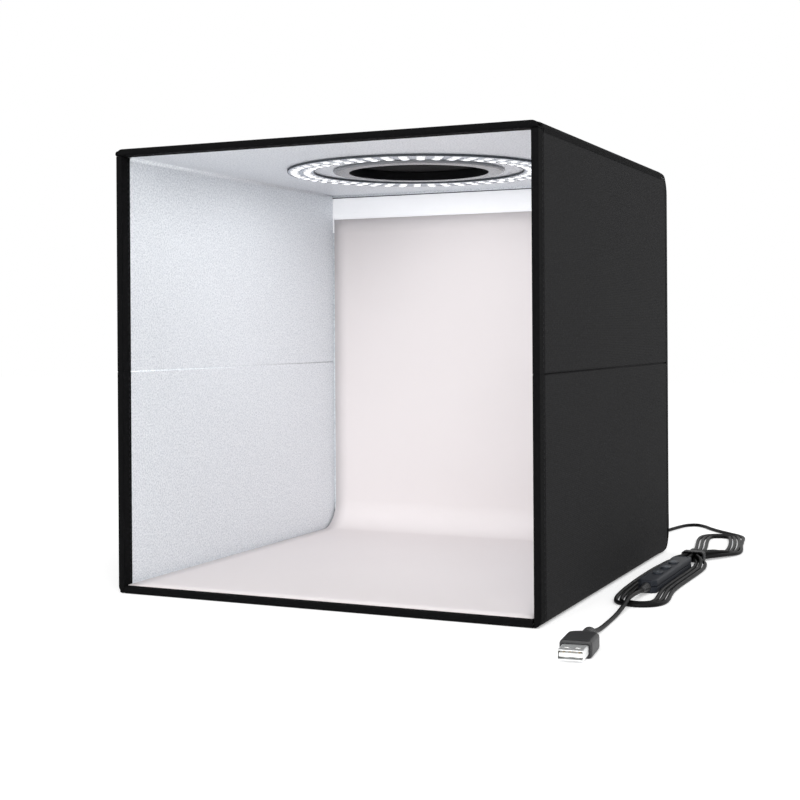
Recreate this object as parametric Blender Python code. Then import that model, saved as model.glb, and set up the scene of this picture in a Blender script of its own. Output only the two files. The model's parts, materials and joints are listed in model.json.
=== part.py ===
"""Folding light tent cube, about 25 cm across.

Board panels in black fabric with a silver lining stand round an open front.  Both side
panels crease at mid height and fold inwards, which brings the top straight down on the
base.  The back panel swings out on a fabric hinge, and a flap closes the camera hole in
the top.  A ring of light chips hangs round that hole.  Its cord leaves the rear edge of
the base, lies in a tied hank with an inline dimmer, and ends in a flat power plug.

Metres, +Z up, front face towards -Y, origin under the middle of the box.
"""
import math

import bmesh
import bpy
from mathutils import Matrix, Vector

MM = 0.001

# The box
WIDTH = 250 * MM
DEPTH = 266 * MM
HEIGHT = 250 * MM
REAR_ROUND = 15 * MM
TABLE_GAP = 0.3 * MM
SEAT = 0.3 * MM
HINGE_GAP = 0.4 * MM

# The layers of a panel, from the outside in
SKIN = 0.7 * MM
BOARD = 2.0 * MM
LINING = 0.6 * MM
RIM = 0.8 * MM
EDGE_ROUND = 3.2 * MM
BACK_EDGE_ROUND = 1.6 * MM

# The tape bound round the front edge
TAPE_WIDTH = 8.5 * MM
TAPE_ROUND = 1.4 * MM

# The fold
FOLD_CLEAR = 0.5 * MM
CREASE_OFFSET = 0.4 * MM
GUSSET = 0.8 * MM

# The backdrop sheet, and the height of the white strip that it hangs on
SHEET = 0.8 * MM
SHEET_SIDE_GAP = 1.3 * MM
SHEET_FRONT_GAP = 3.0 * MM
SHEET_TOP_GAP = 17.5 * MM
SWEEP = 20 * MM
STRIP_HEIGHT = 24 * MM

# The camera hole, its collar and the light ring
HOLE_RADIUS = 43 * MM
HOLE_SETBACK = 141.4 * MM
COLLAR_WALL = 1.2 * MM
COLLAR_FLANGE = 1.5 * MM
COLLAR_RADIUS = 53 * MM
RING_INNER = 65 * MM
RING_OUTER = 81 * MM
RING_BOARD = 1.0 * MM
CHIP = 5.0 * MM
CHIP_PROUD = 0.6 * MM
CHIP_ROOT = 0.2 * MM
CHIP_ROW_MARGIN = 4.0 * MM
CHIPS_A_ROW = 48

# The flap over the camera hole
FLAP_MARGIN = 9 * MM
FLAP_THICK = 2.3 * MM
FLAP_BOARD = 1.3 * MM
FLAP_HINGE_GAP = 0.2 * MM
FLAP_HEM = 14 * MM
FLAP_HEM_THICK = 0.7 * MM
PULL_LENGTH = 12 * MM
PULL_WIDTH = 16 * MM
PULL_THICK = 0.8 * MM
PATCH_LENGTH = 9 * MM
PATCH_THICK = 0.6 * MM

# The tabs that close the back panel on the top
TAB = 0.8 * MM
TAB_WIDTH = 25 * MM
TAB_PLACE = 70 * MM
TAB_REACH = 14 * MM
TAB_DROP = 16 * MM

# The flat lead inside the panels, from the light ring to the grommet
LEAD_WIDTH = 3.0 * MM
LEAD_THICK = 1.0 * MM
LEAD_FRAME_GAP = 16 * MM
LEAD_START = 50 * MM
LEAD_END_GAP = 2.5 * MM

# The grommet in the rear edge, and the cord
GROMMET_FROM_EDGE = 30 * MM
GROMMET_HEIGHT = 7.0 * MM
GROMMET_NECK = 2.2 * MM
GROMMET_FLANGE = 4.0 * MM
GROMMET_FLANGE_THICK = 1.2 * MM
GROMMET_BOOT = 3.0 * MM
GROMMET_TIP = 1.8 * MM
GROMMET_TAIL = 16 * MM
CORD = 2.3 * MM

# The hank: loops that lie flat and side by side, drawn in two deep at a waist that a tie holds
LOOPS = 3
LOOP_STEP = 3.0 * MM
WAIST_STEP = 3.2 * MM
WAIST_CLIMB = 2.4 * MM
DRAWN_SHARE = 0.7
CLIMBED_SHARE = 0.8
NEAR_REACH = 13.2 * MM
FAR_REACH = 15.9 * MM
HANK_START = 166 * MM
TIP_STEPS = 4
TIE_THICK = 0.8 * MM
TIE_LENGTH = 6 * MM
TIE_CORNER = 1.2 * MM

# The inline dimmer
CASE_LENGTH = 91 * MM
CASE_WIDTH = 11 * MM
CASE_HEIGHT = 7.3 * MM
CASE_CHAMFER = 2.5 * MM
CASE_EDGE = 0.8 * MM
CASE_WALL = 1.2 * MM
CASE_X = 149 * MM
CASE_CENTRE_Y = 24 * MM
CASE_BOARD = 1.0 * MM
BUTTON_LENGTH = 9 * MM
BUTTON_WIDTH = 5 * MM
BUTTON_PROUD = 0.7 * MM
BUTTON_PITCH = 19 * MM
BUTTON_STEM = 2.4 * MM
BUTTON_TRAVEL = 0.5 * MM
RELIEF_NECK = 1.7 * MM
RELIEF_WIDE = 2.6 * MM
RELIEF_TIP = 1.6 * MM
RELIEF_LENGTH = 11 * MM
RELIEF_INSIDE = 2.0 * MM

# The plug
PLUG_TURN = math.radians(6)
PLUG_BODY_WIDTH = 15 * MM
PLUG_BODY_LENGTH = 18 * MM
PLUG_FLARE = 9 * MM
PLUG_COLLAR_WIDTH = 6.4 * MM
PLUG_COLLAR_LENGTH = 8 * MM
PLUG_HEIGHT = 8 * MM
PLUG_EDGE = 1.1 * MM
SHELL_WIDTH = 12 * MM
SHELL_HEIGHT = 4.5 * MM
SHELL_WALL = 0.4 * MM
SHELL_OUT = 12 * MM
SHELL_IN = 4 * MM
WINDOW = 2.1 * MM
WINDOW_PITCH = 5.0 * MM
WINDOW_SETBACK = 4.6 * MM
TONGUE_THICK = 1.8 * MM
TONGUE_SETBACK = 1.2 * MM
TONGUE_BLOCK = 3.0 * MM
TONGUE_RAISE = 0.4 * MM

# Shared values of the modelling itself
OVERRUN = 5 * MM
ROUND_STEPS = 64
ARC_STEPS = 6
EDGE_STEPS = 3

# Lines that several pieces share
PANEL = SKIN + SEAT + BOARD + SEAT + LINING
half = WIDTH / 2
inner_half = half - PANEL
base_half = inner_half - HINGE_GAP
front_y = -(DEPTH + SEAT + TAB) / 2
back_y = front_y + DEPTH
round_y = back_y - REAR_ROUND
cover_front_y = front_y + TAPE_WIDTH + SEAT
ceiling_z = HEIGHT - PANEL
sheet_top_z = PANEL + SEAT + SHEET
ring_proud = SEAT + RING_BOARD + CHIP_PROUD
lower_axis_z = sheet_top_z + 2 * SEAT
strip_inner = REAR_ROUND - GUSSET
folded_rear_y = round_y + math.sqrt(strip_inner ** 2 - (REAR_ROUND - lower_axis_z) ** 2) - SEAT
frame_rear_y = min(back_y - PANEL - HINGE_GAP, folded_rear_y)
top_axis_z = ceiling_z - ring_proud - FOLD_CLEAR
crease_z = (lower_axis_z + top_axis_z) / 2
crease_x = half + CREASE_OFFSET
hole_y = front_y + HOLE_SETBACK
grommet_x = half - GROMMET_FROM_EDGE
hole_cut = HOLE_RADIUS + COLLAR_WALL + SEAT
lead_y = frame_rear_y - LEAD_FRAME_GAP
lead_half = LEAD_WIDTH / 2


# The scene, its collections and materials

for old in list(bpy.data.objects):
    bpy.data.objects.remove(old)

parts = bpy.data.collections.new("light_tent_cube")
cutters = bpy.data.collections.new("cutters")
bpy.context.scene.collection.children.link(parts)
bpy.context.scene.collection.children.link(cutters)


def finish(name, colour, roughness, metallic=0.0):
    """A Principled material of one sRGB hex colour."""
    made = bpy.data.materials.new(name)
    made.use_nodes = True
    channels = [int(colour[i:i + 2], 16) / 255 for i in (0, 2, 4)]
    linear = [c / 12.92 if c <= 0.04045 else ((c + 0.055) / 1.055) ** 2.4 for c in channels]
    shader = made.node_tree.nodes["Principled BSDF"]
    shader.inputs["Base Color"].default_value = (*linear, 1.0)
    shader.inputs["Roughness"].default_value = roughness
    shader.inputs["Metallic"].default_value = metallic
    return made


black_fabric = finish("black woven fabric", "28282a", 0.9)
black_tape = finish("black binding tape", "18181a", 0.85)
grey_board = finish("grey board", "8a8a88", 0.8)
silver_lining = finish("silver reflective lining", "d6dbe0", 0.35, 0.4)
pale_sheet = finish("pale backdrop sheet", "efeae9", 0.5)
white_tape = finish("white hook and loop tape", "fafafa", 0.8)
white_board = finish("white circuit board", "f4f6f8", 0.4)
grey_plastic = finish("dark grey plastic", "55565a", 0.45)
case_plastic = finish("slate moulded plastic", "2d3037", 0.5)
key_plastic = finish("grey key plastic", "474b53", 0.5)
green_board = finish("green circuit board", "1f5a38", 0.5)
soft_plastic = finish("black soft plastic", "19191a", 0.55)
cord_jacket = finish("black cord jacket", "161617", 0.45)
plated_steel = finish("plated steel", "c9cbcd", 0.25, 1.0)
white_plastic = finish("white plastic", "f0f0ee", 0.5)


# Joint empties, each on its axis

def axis_empty(name, place, parent=None, turn=0.0):
    """An empty that stands on a joint's axis."""
    empty = bpy.data.objects.new(name, None)
    parts.objects.link(empty)
    empty.parent = parent
    empty.location = Vector(place) - (parent.matrix_world.translation if parent else Vector())
    empty.rotation_euler = (0, 0, turn)
    bpy.context.view_layer.update()
    return empty


root = axis_empty("base_frame", (0, 0, 0))
left_lower = axis_empty("left_lower_axis", (-inner_half, 0, lower_axis_z), root)
left_upper = axis_empty("left_crease_axis", (-crease_x, 0, crease_z), left_lower)
top = axis_empty("top_axis", (-inner_half, 0, top_axis_z), left_upper)
right_lower = axis_empty("right_lower_axis", (inner_half, 0, lower_axis_z), root)
right_upper = axis_empty("right_crease_axis", (crease_x, 0, crease_z), right_lower)
back = axis_empty("back_axis", (0, back_y, REAR_ROUND), root)


# Modelling helpers

def add(name, mesh, material, parent, smooth=False):
    """Links a mesh that is modelled in place, and carries it on its parent."""
    if smooth:
        mesh.shade_smooth()
        mesh.set_sharp_from_angle(angle=math.radians(35))
    made = bpy.data.objects.new(name, mesh)
    mesh.materials.clear()
    mesh.materials.append(material)
    parts.objects.link(made)
    made.parent = parent
    made.matrix_parent_inverse = parent.matrix_world.inverted()
    return made


def add_cutter(name, mesh):
    """Links a mesh that only cuts or joins."""
    made = bpy.data.objects.new(name, mesh)
    cutters.objects.link(made)
    made.hide_render = True
    made.display_type = "WIRE"
    return made


def combine(piece, cutter, operation="DIFFERENCE"):
    """Cuts a piece by a cutter, or joins it on."""
    step = piece.modifiers.new(cutter.name, "BOOLEAN")
    step.operation = operation
    step.solver = "EXACT"
    step.object = cutter


def cleaned(bm, name):
    """Turns a bmesh into a closed mesh whose faces point out."""
    bmesh.ops.remove_doubles(bm, verts=bm.verts, dist=MM * MM)
    bmesh.ops.recalc_face_normals(bm, faces=bm.faces)
    mesh = bpy.data.meshes.new(name)
    bm.to_mesh(mesh)
    bm.free()
    return mesh


def block(name, low, high):
    """A box between two corners."""
    bm = bmesh.new()
    bmesh.ops.create_cube(bm, size=1.0)
    size = [h - l for l, h in zip(low, high)]
    middle = [(h + l) / 2 for l, h in zip(low, high)]
    bmesh.ops.transform(bm, matrix=Matrix.Translation(middle) @ Matrix.Diagonal((*size, 1)),
                        verts=bm.verts)
    return cleaned(bm, name)


def lay_curve(name, curve, turn):
    """Makes a curve a welded mesh, turned into place."""
    holder = bpy.data.objects.new(name, curve)
    parts.objects.link(holder)
    bpy.context.view_layer.update()
    mesh = bpy.data.meshes.new_from_object(holder.evaluated_get(bpy.context.evaluated_depsgraph_get()))
    bpy.data.objects.remove(holder)
    bm = bmesh.new()
    bm.from_mesh(mesh)
    bmesh.ops.transform(bm, matrix=turn, verts=bm.verts)
    return cleaned(bm, name)


ALONG = {
    "X": Matrix(((0, 0, 1, 0), (1, 0, 0, 0), (0, 1, 0, 0), (0, 0, 0, 1))),
    "Y": Matrix(((1, 0, 0, 0), (0, 0, -1, 0), (0, 1, 0, 0), (0, 0, 0, 1))),
    "Z": Matrix.Identity(4),
}
UNIT = {"X": Vector((1, 0, 0)), "Y": Vector((0, 1, 0)), "Z": Vector((0, 0, 1))}


def plate(name, outline, axis, low, high):
    """A flat outline, given on the two other axes, carried along an axis from low to high."""
    curve = bpy.data.curves.new(name, "CURVE")
    curve.dimensions = "2D"
    curve.fill_mode = "BOTH"
    curve.extrude = (high - low) / 2
    spline = curve.splines.new("POLY")
    spline.points.add(len(outline) - 1)
    for point, (a, b) in zip(spline.points, outline):
        point.co = (a, b, 0, 1)
    spline.use_cyclic_u = True
    place = Matrix.Translation(UNIT[axis] * ((high + low) / 2))
    return lay_curve(name, curve, place @ ALONG[axis])


def arc(centre, radius, start, end, steps=ARC_STEPS):
    """Points along an arc, from one angle to another."""
    turns = [start + (end - start) * i / steps for i in range(steps + 1)]
    return [(centre[0] + radius * math.cos(t), centre[1] + radius * math.sin(t)) for t in turns]


def soften(mesh, chosen, width, steps=EDGE_STEPS):
    """Rounds the edges whose two ends both pass a test."""
    bm = bmesh.new()
    bm.from_mesh(mesh)
    edges = [e for e in bm.edges if all(chosen(v.co) for v in e.verts) and e.calc_face_angle(0) > 0.5]
    bmesh.ops.bevel(bm, geom=edges, offset=width, segments=steps, profile=0.5, affect="EDGES",
                    clamp_overlap=True, material=-1)
    bmesh.ops.recalc_face_normals(bm, faces=bm.faces)
    bm.to_mesh(mesh)
    bm.free()
    return mesh


def turned(name, profile, place, axis="Z", steps=ROUND_STEPS):
    """A profile of (radius, height) points turned round an axis through a place."""
    bm = bmesh.new()
    verts = [bm.verts.new((r, 0, h)) for r, h in profile]
    edges = [bm.edges.new((a, b)) for a, b in zip(verts, verts[1:] + verts[:1])
             if a.co.x > 0 or b.co.x > 0]
    bmesh.ops.spin(bm, geom=verts + edges, cent=(0, 0, 0), axis=(0, 0, 1), angle=2 * math.pi,
                   steps=steps, use_merge=True)
    facing = {"Z": Matrix.Identity(4), "Y": Matrix.Rotation(-math.pi / 2, 4, "X"),
              "-Y": Matrix.Rotation(math.pi / 2, 4, "X")}[axis]
    bmesh.ops.transform(bm, matrix=Matrix.Translation(place) @ facing, verts=bm.verts)
    return cleaned(bm, name)


# The panels

def rear_arc(inset, bottom_angle=-math.pi / 2, reach=None, height=None):
    """The low rear corner of what lies inside the hinge strip, as (y, z) points."""
    radius = strip_inner - SEAT - inset
    if reach is not None:
        end = -math.acos((reach - round_y) / radius)
    else:
        end = -math.asin((REAR_ROUND - height) / radius)
    return arc((round_y, REAR_ROUND), radius, bottom_angle, end)


def side_outline(front, low, high, inset):
    """A side half's outline as (y, z) points; the lower one follows the round rear corner."""
    rear = frame_rear_y - inset
    if low > REAR_ROUND:
        return [(front, low + inset), (rear, low + inset), (rear, high - inset), (front, high - inset)]
    step_y = round_y - SEAT - inset
    corner = rear_arc(inset, reach=rear)
    return [(front, low + inset), (step_y, low + inset), (step_y, corner[0][1])] + corner + [
        (rear, high - inset), (front, high - inset)]


def tape_outline(outer, inner):
    """The section of the front tape as (thickness place, y) points, open towards the rear."""
    way = 1 if inner > outer else -1
    end_y = front_y + TAPE_WIDTH
    web_y = front_y + SKIN
    near = (outer + way * TAPE_ROUND, front_y + TAPE_ROUND)
    far = (inner - way * TAPE_ROUND, front_y + TAPE_ROUND)
    first = arc(near, TAPE_ROUND, math.pi if way > 0 else 0, 1.5 * math.pi if way > 0 else -math.pi / 2,
                EDGE_STEPS)
    second = arc(far, TAPE_ROUND, 1.5 * math.pi if way > 0 else -math.pi / 2,
                 2 * math.pi if way > 0 else -math.pi, EDGE_STEPS)
    return [(outer, end_y)] + first + second + [
        (inner, end_y), (inner - way * LINING, end_y), (inner - way * LINING, web_y),
        (outer + way * SKIN, web_y), (outer + way * SKIN, end_y)]


def swap(points):
    """The same outline with its two places exchanged."""
    return [(b, a) for a, b in points]


def make_side_half(side, half_name, low, high, parent):
    """One half of a side panel: cover, board, lining and front tape."""
    sign = 1 if side == "right" else -1
    name = f"{side}_{half_name}"

    def between(a, b):
        return sorted((sign * a, sign * b))

    cover = add(f"{name}_cover", plate(f"{name}_cover", side_outline(cover_front_y, low, high, 0),
                                       "X", *between(inner_half, half)), black_fabric, parent)
    pocket = plate(f"{name}_pocket", side_outline(cover_front_y - OVERRUN, low, high, RIM),
                   "X", *between(inner_half - OVERRUN, half - SKIN))
    combine(cover, add_cutter(f"{name}_pocket", pocket))
    board = side_outline(front_y + SKIN + SEAT, low, high, RIM + SEAT)
    board_low, board_high = between(half - SKIN - SEAT - BOARD, half - SKIN - SEAT)
    board_piece = add(f"{name}_board", plate(f"{name}_board", board, "X", board_low, board_high),
                      grey_board, parent)
    lining = side_outline(cover_front_y, low, high, RIM + SEAT)
    add(f"{name}_lining", plate(f"{name}_lining", lining, "X", *between(inner_half, inner_half + LINING)),
        silver_lining, parent)
    add(f"{name}_binding", plate(f"{name}_binding", tape_outline(sign * half, sign * inner_half),
                                 "Z", low, high), black_tape, parent)
    return board_piece


lower_span = (TABLE_GAP, crease_z - SEAT)
upper_span = (crease_z + SEAT, ceiling_z - SEAT)
make_side_half("left", "lower", *lower_span, left_lower)
make_side_half("left", "upper", *upper_span, left_upper)
right_lower_board = make_side_half("right", "lower", *lower_span, right_lower)
right_upper_board = make_side_half("right", "upper", *upper_span, right_upper)

# The base: its cover's rear edge is a wedge that follows the hinge strip
base_rear = rear_arc(0, height=PANEL)
base_step_y = round_y - SEAT
base_outline = [(cover_front_y, 0), (base_step_y, 0), (base_step_y, base_rear[0][1])] + base_rear + [
    (cover_front_y, PANEL)]
base_cover = add("base_cover", plate("base_cover", base_outline, "X", -base_half, base_half),
                 black_fabric, root)
base_pocket_y = base_step_y - RIM
combine(base_cover, add_cutter("base_pocket", block(
    "base_pocket", (-base_half + RIM, cover_front_y - OVERRUN, SKIN),
    (base_half - RIM, base_pocket_y, PANEL + OVERRUN))))
base_fill_half = base_half - RIM - SEAT
base_board = add("base_board", block(
    "base_board", (-base_fill_half, front_y + SKIN + SEAT, SKIN + SEAT),
    (base_fill_half, base_pocket_y - SEAT, SKIN + SEAT + BOARD)), grey_board, root)
add("base_lining", block("base_lining", (-base_fill_half, cover_front_y, PANEL - LINING),
                         (base_fill_half, base_pocket_y - SEAT, PANEL)), silver_lining, root)
add("base_binding", plate("base_binding", swap(tape_outline(0, PANEL)), "X", -base_half, base_half),
    black_tape, root)

# The fabric strip that the back panel hinges on, round the low rear edge
strip_outline = arc((round_y, REAR_ROUND), REAR_ROUND, -math.pi / 2, 0) + arc(
    (round_y, REAR_ROUND), strip_inner, 0, -math.pi / 2)
rear_strip = add("rear_hinge_strip", plate("rear_hinge_strip", strip_outline, "X", -half, half),
                 black_fabric, root)
neck_hole = turned("grommet_hole", [(0, 0), (GROMMET_NECK + SEAT, 0),
                                    (GROMMET_NECK + SEAT, REAR_ROUND), (0, REAR_ROUND)],
                   (grommet_x, round_y + OVERRUN, GROMMET_HEIGHT), "Y", 24)
combine(rear_strip, add_cutter("grommet_hole", neck_hole))

# The top: its edges are round along both sides, and its rear edge follows the rear corner
top_rear = arc((round_y, HEIGHT - REAR_ROUND), REAR_ROUND, math.pi / 2,
               math.asin((REAR_ROUND - PANEL) / REAR_ROUND))
top_outline = [(cover_front_y, ceiling_z), (cover_front_y, HEIGHT)] + top_rear


def at_top_sides(place):
    return abs(abs(place.x) - half) < MM * MM and place.z > ceiling_z + SEAT


top_cover = add("top_cover", soften(plate("top_cover", top_outline, "X", -half, half),
                                    at_top_sides, EDGE_ROUND), black_fabric, top)
combine(top_cover, add_cutter("top_pocket", block(
    "top_pocket", (-base_half + RIM, cover_front_y - OVERRUN, ceiling_z - OVERRUN),
    (base_half - RIM, round_y, HEIGHT - SKIN))))
top_board = add("top_board", block(
    "top_board", (-base_fill_half, front_y + SKIN + SEAT, HEIGHT - SKIN - SEAT - BOARD),
    (base_fill_half, round_y - SEAT, HEIGHT - SKIN - SEAT)), grey_board, top)
ceiling_lining = add("ceiling_lining", block(
    "ceiling_lining", (-base_fill_half, cover_front_y, ceiling_z),
    (base_fill_half, round_y - SEAT, ceiling_z + LINING)), silver_lining, top)
add("top_binding", soften(plate("top_binding", swap(tape_outline(HEIGHT, ceiling_z)), "X", -half, half),
                          lambda v: abs(abs(v.x) - half) < MM * MM and v.z > HEIGHT - MM * MM,
                          BACK_EDGE_ROUND, 2), black_tape, top)
camera_hole = add_cutter("camera_hole", turned(
    "camera_hole", [(0, 0), (hole_cut, 0), (hole_cut, PANEL + 2 * OVERRUN), (0, PANEL + 2 * OVERRUN)],
    (0, hole_y, ceiling_z - OVERRUN)))
for piece in (top_cover, top_board, ceiling_lining):
    combine(piece, camera_hole)

# The back panel: its upper edge follows the rear corner too
back_low = REAR_ROUND + SEAT
back_inner = back_y - PANEL
back_arc = arc((round_y, HEIGHT - REAR_ROUND), REAR_ROUND, 0,
               math.acos((REAR_ROUND - PANEL) / REAR_ROUND))
back_outline = [(back_inner, back_low), (back_y, back_low)] + back_arc


def at_back_sides(place):
    return abs(abs(place.x) - half) < MM * MM and place.y > back_inner + SEAT


back_cover = add("back_cover", soften(plate("back_cover", back_outline, "X", -half, half),
                                      at_back_sides, BACK_EDGE_ROUND), black_fabric, back)
back_fill_low = back_low + RIM
back_fill_high = HEIGHT - REAR_ROUND
strip_wall = REAR_ROUND - PANEL + LINING + SEAT + SKIN
strip_room_high = back_fill_high + math.sqrt(REAR_ROUND ** 2 - strip_wall ** 2)
for name, depth, high in (("back_pocket", PANEL - SKIN, back_fill_high),
                          ("strip_pocket", LINING + SEAT, strip_room_high)):
    combine(back_cover, add_cutter(name, block(
        name, (-base_half, back_inner - OVERRUN, back_fill_low), (base_half, back_inner + depth, high))))
back_fill_half = base_half - SEAT
strip_high = strip_room_high - SEAT
strip_low = strip_high - STRIP_HEIGHT
add("back_board", block("back_board", (-back_fill_half, back_y - SKIN - SEAT - BOARD, back_fill_low + SEAT),
                        (back_fill_half, back_y - SKIN - SEAT, back_fill_high - SEAT)), grey_board, back)
for name, low, high, material in (("back_lining", back_fill_low + SEAT, strip_low - SEAT, silver_lining),
                                  ("hanger_strip", strip_low, strip_high, white_tape)):
    add(name, block(name, (-back_fill_half, back_inner, low),
                    (back_fill_half, back_inner + LINING, high)), material, back)

# The sheet that hangs on the white strip and sweeps over the base
sheet_half = inner_half - SHEET_SIDE_GAP
sheet_rear = back_inner - SEAT
sweep_centre = (sheet_rear - SHEET - SWEEP, sheet_top_z + SWEEP)
sheet_front = front_y + SHEET_FRONT_GAP
sheet_high = ceiling_z - SHEET_TOP_GAP
sheet_outline = [(sheet_front, sheet_top_z - SHEET)] + arc(
    sweep_centre, SWEEP + SHEET, -math.pi / 2, 0) + [
    (sheet_rear, sheet_high), (sheet_rear - SHEET, sheet_high)] + arc(
    sweep_centre, SWEEP, 0, -math.pi / 2) + [(sheet_front, sheet_top_z)]
add("backdrop", plate("backdrop", sheet_outline, "X", -sheet_half, sheet_half), pale_sheet, root)

# The tabs that close the back panel on the top, round the rear corner
tab_inner = REAR_ROUND + SEAT
tab_outer = tab_inner + TAB
tab_centre = (round_y, HEIGHT - REAR_ROUND)
tab_outline = [(round_y - TAB_REACH, HEIGHT + SEAT)] + arc(tab_centre, tab_inner, math.pi / 2, 0) + [
    (back_y + SEAT, HEIGHT - REAR_ROUND - TAB_DROP), (back_y + SEAT + TAB, HEIGHT - REAR_ROUND - TAB_DROP)
] + arc(tab_centre, tab_outer, 0, math.pi / 2) + [(round_y - TAB_REACH, HEIGHT + SEAT + TAB)]
for side, sign in (("left", -1), ("right", 1)):
    middle = sign * TAB_PLACE
    add(f"closing_tab_{side}", plate(f"closing_tab_{side}", tab_outline, "X", middle - TAB_WIDTH / 2,
                                     middle + TAB_WIDTH / 2), black_tape, back)


# The camera hole's collar, and the light ring

collar_low = ceiling_z - SEAT - COLLAR_FLANGE
neck_radius = HOLE_RADIUS + COLLAR_WALL
add("hole_collar", turned("hole_collar", [
    (HOLE_RADIUS, 0), (COLLAR_RADIUS, 0), (COLLAR_RADIUS, COLLAR_FLANGE), (neck_radius, COLLAR_FLANGE),
    (neck_radius, HEIGHT - collar_low), (HOLE_RADIUS, HEIGHT - collar_low)],
    (0, hole_y, collar_low)), grey_plastic, top, smooth=True)

ring_low = ceiling_z - SEAT - RING_BOARD
led_board = add("led_board", turned("led_board", [
    (RING_INNER, 0), (RING_OUTER, 0), (RING_OUTER, RING_BOARD), (RING_INNER, RING_BOARD)],
    (0, hole_y, ring_low), steps=2 * CHIPS_A_ROW), white_board, top)


def chip_row(bm, radius):
    """One row of light chips round the ring, each in the middle of a facet of the board."""
    size = Matrix.Diagonal((CHIP, CHIP, CHIP_PROUD + CHIP_ROOT, 1))
    drop = ring_low + CHIP_ROOT - (CHIP_PROUD + CHIP_ROOT) / 2
    for i in range(CHIPS_A_ROW):
        turn = Matrix.Rotation(2 * math.pi * (i + 0.25) / CHIPS_A_ROW, 4, "Z")
        bmesh.ops.create_cube(bm, size=1.0, matrix=Matrix.Translation((0, hole_y, drop)) @ turn
                              @ Matrix.Translation((radius, 0, 0)) @ size)


chips = bmesh.new()
chip_row(chips, RING_INNER + CHIP_ROW_MARGIN)
chip_row(chips, RING_OUTER - CHIP_ROW_MARGIN)
combine(led_board, add_cutter("light_chips", cleaned(chips, "light_chips")), "UNION")


# The flat lead, in grooves of the boards

def groove(board, name, low, high):
    """Cuts a lead's groove, which keeps its gap all round."""
    room = [SEAT] * 3
    combine(board, add_cutter(name, block(name, [a - b for a, b in zip(low, room)],
                                          [a + b for a, b in zip(high, room)])))


def board_face(outer):
    """The span of a lead that lies against a board's lining side, from the outer face."""
    return outer - SKIN - SEAT - BOARD, outer - SKIN - SEAT - BOARD + LEAD_THICK


lead_low = top_axis_z - LEAD_END_GAP
ring_lead_z = HEIGHT - SKIN - SEAT - BOARD
lead_x = base_fill_half - LEAD_END_GAP
ring_lead_start = hole_y + math.sqrt(RING_OUTER ** 2 - LEAD_START ** 2) - LEAD_WIDTH
lead_outline = [(LEAD_START - lead_half, ring_lead_start), (LEAD_START + lead_half, ring_lead_start),
                (LEAD_START + lead_half, lead_y - lead_half), (lead_x, lead_y - lead_half),
                (lead_x, lead_y + lead_half), (LEAD_START - lead_half, lead_y + lead_half)]
add("ring_lead", plate("ring_lead", lead_outline, "Z", ring_lead_z, ring_lead_z + LEAD_THICK),
    soft_plastic, top)
for name, low, high in (
        ("ring_lead_run", (LEAD_START - lead_half, ring_lead_start),
         (LEAD_START + lead_half, lead_y + lead_half)),
        ("ring_lead_cross", (LEAD_START - lead_half, lead_y - lead_half), (lead_x, lead_y + lead_half))):
    groove(top_board, name, (*low, ring_lead_z - OVERRUN), (*high, ring_lead_z + LEAD_THICK))

side_lead = board_face(half)
for name, board, parent, low, high in (
        ("right_upper_lead", right_upper_board, right_upper, upper_span[0] + LEAD_END_GAP, lead_low),
        ("right_lower_lead", right_lower_board, right_lower, lower_axis_z + LEAD_END_GAP,
         lower_span[1] - LEAD_END_GAP)):
    corners = ((side_lead[0], lead_y - lead_half, low), (side_lead[1], lead_y + lead_half, high))
    add(name, block(name, *corners), soft_plastic, parent)
    groove(board, f"{name}_groove", (corners[0][0] - OVERRUN, *corners[0][1:]), corners[1])

base_lead_z = SKIN + SEAT + BOARD - LEAD_THICK
lead_end_y = round_y + math.sqrt((strip_inner - SEAT) ** 2 - (REAR_ROUND - base_lead_z) ** 2)
lead_turn = [(grommet_x - lead_half, lead_y - lead_half), (lead_x, lead_y - lead_half),
             (lead_x, lead_y + lead_half), (grommet_x + lead_half, lead_y + lead_half),
             (grommet_x + lead_half, lead_end_y), (grommet_x - lead_half, lead_end_y)]
add("base_lead", plate("base_lead", lead_turn, "Z", base_lead_z, base_lead_z + LEAD_THICK),
    soft_plastic, root)
lead_room = base_lead_z + LEAD_THICK + OVERRUN
groove(base_board, "base_lead_cross", (grommet_x - lead_half, lead_y - lead_half, base_lead_z),
       (lead_x, lead_y + lead_half, lead_room))
groove(base_board, "base_lead_run", (grommet_x - lead_half, lead_y - lead_half, base_lead_z),
       (grommet_x + lead_half, lead_end_y, lead_room))
groove(base_cover, "base_lead_slot", (grommet_x - lead_half, base_pocket_y - OVERRUN, base_lead_z),
       (grommet_x + lead_half, lead_end_y, lead_room))


# The flap over the camera hole, hinged along its left edge

flap_half = HOLE_RADIUS + FLAP_MARGIN
flap_low = HEIGHT + SEAT
flap_high = flap_low + FLAP_THICK
flap_axis_x = -flap_half - FLAP_HINGE_GAP
flap = axis_empty("flap_axis", (flap_axis_x, hole_y, flap_high), top)
flap_cover = add("flap_cover", block("flap_cover", (-flap_half, hole_y - flap_half, flap_low),
                                     (flap_half, hole_y + flap_half, flap_high)), black_fabric, flap)
flap_pocket_half = flap_half - RIM
flap_ceiling = flap_low + FLAP_BOARD + SEAT
combine(flap_cover, add_cutter("flap_pocket", block(
    "flap_pocket", (-flap_pocket_half, hole_y - flap_pocket_half, flap_low - OVERRUN),
    (flap_pocket_half, hole_y + flap_pocket_half, flap_ceiling))))
flap_board_half = flap_pocket_half - SEAT
add("flap_board", block("flap_board", (-flap_board_half, hole_y - flap_board_half, flap_low),
                        (flap_board_half, hole_y + flap_board_half, flap_low + FLAP_BOARD)),
    black_fabric, flap)
pull_low = HEIGHT + SEAT + PATCH_THICK + SEAT
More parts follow.
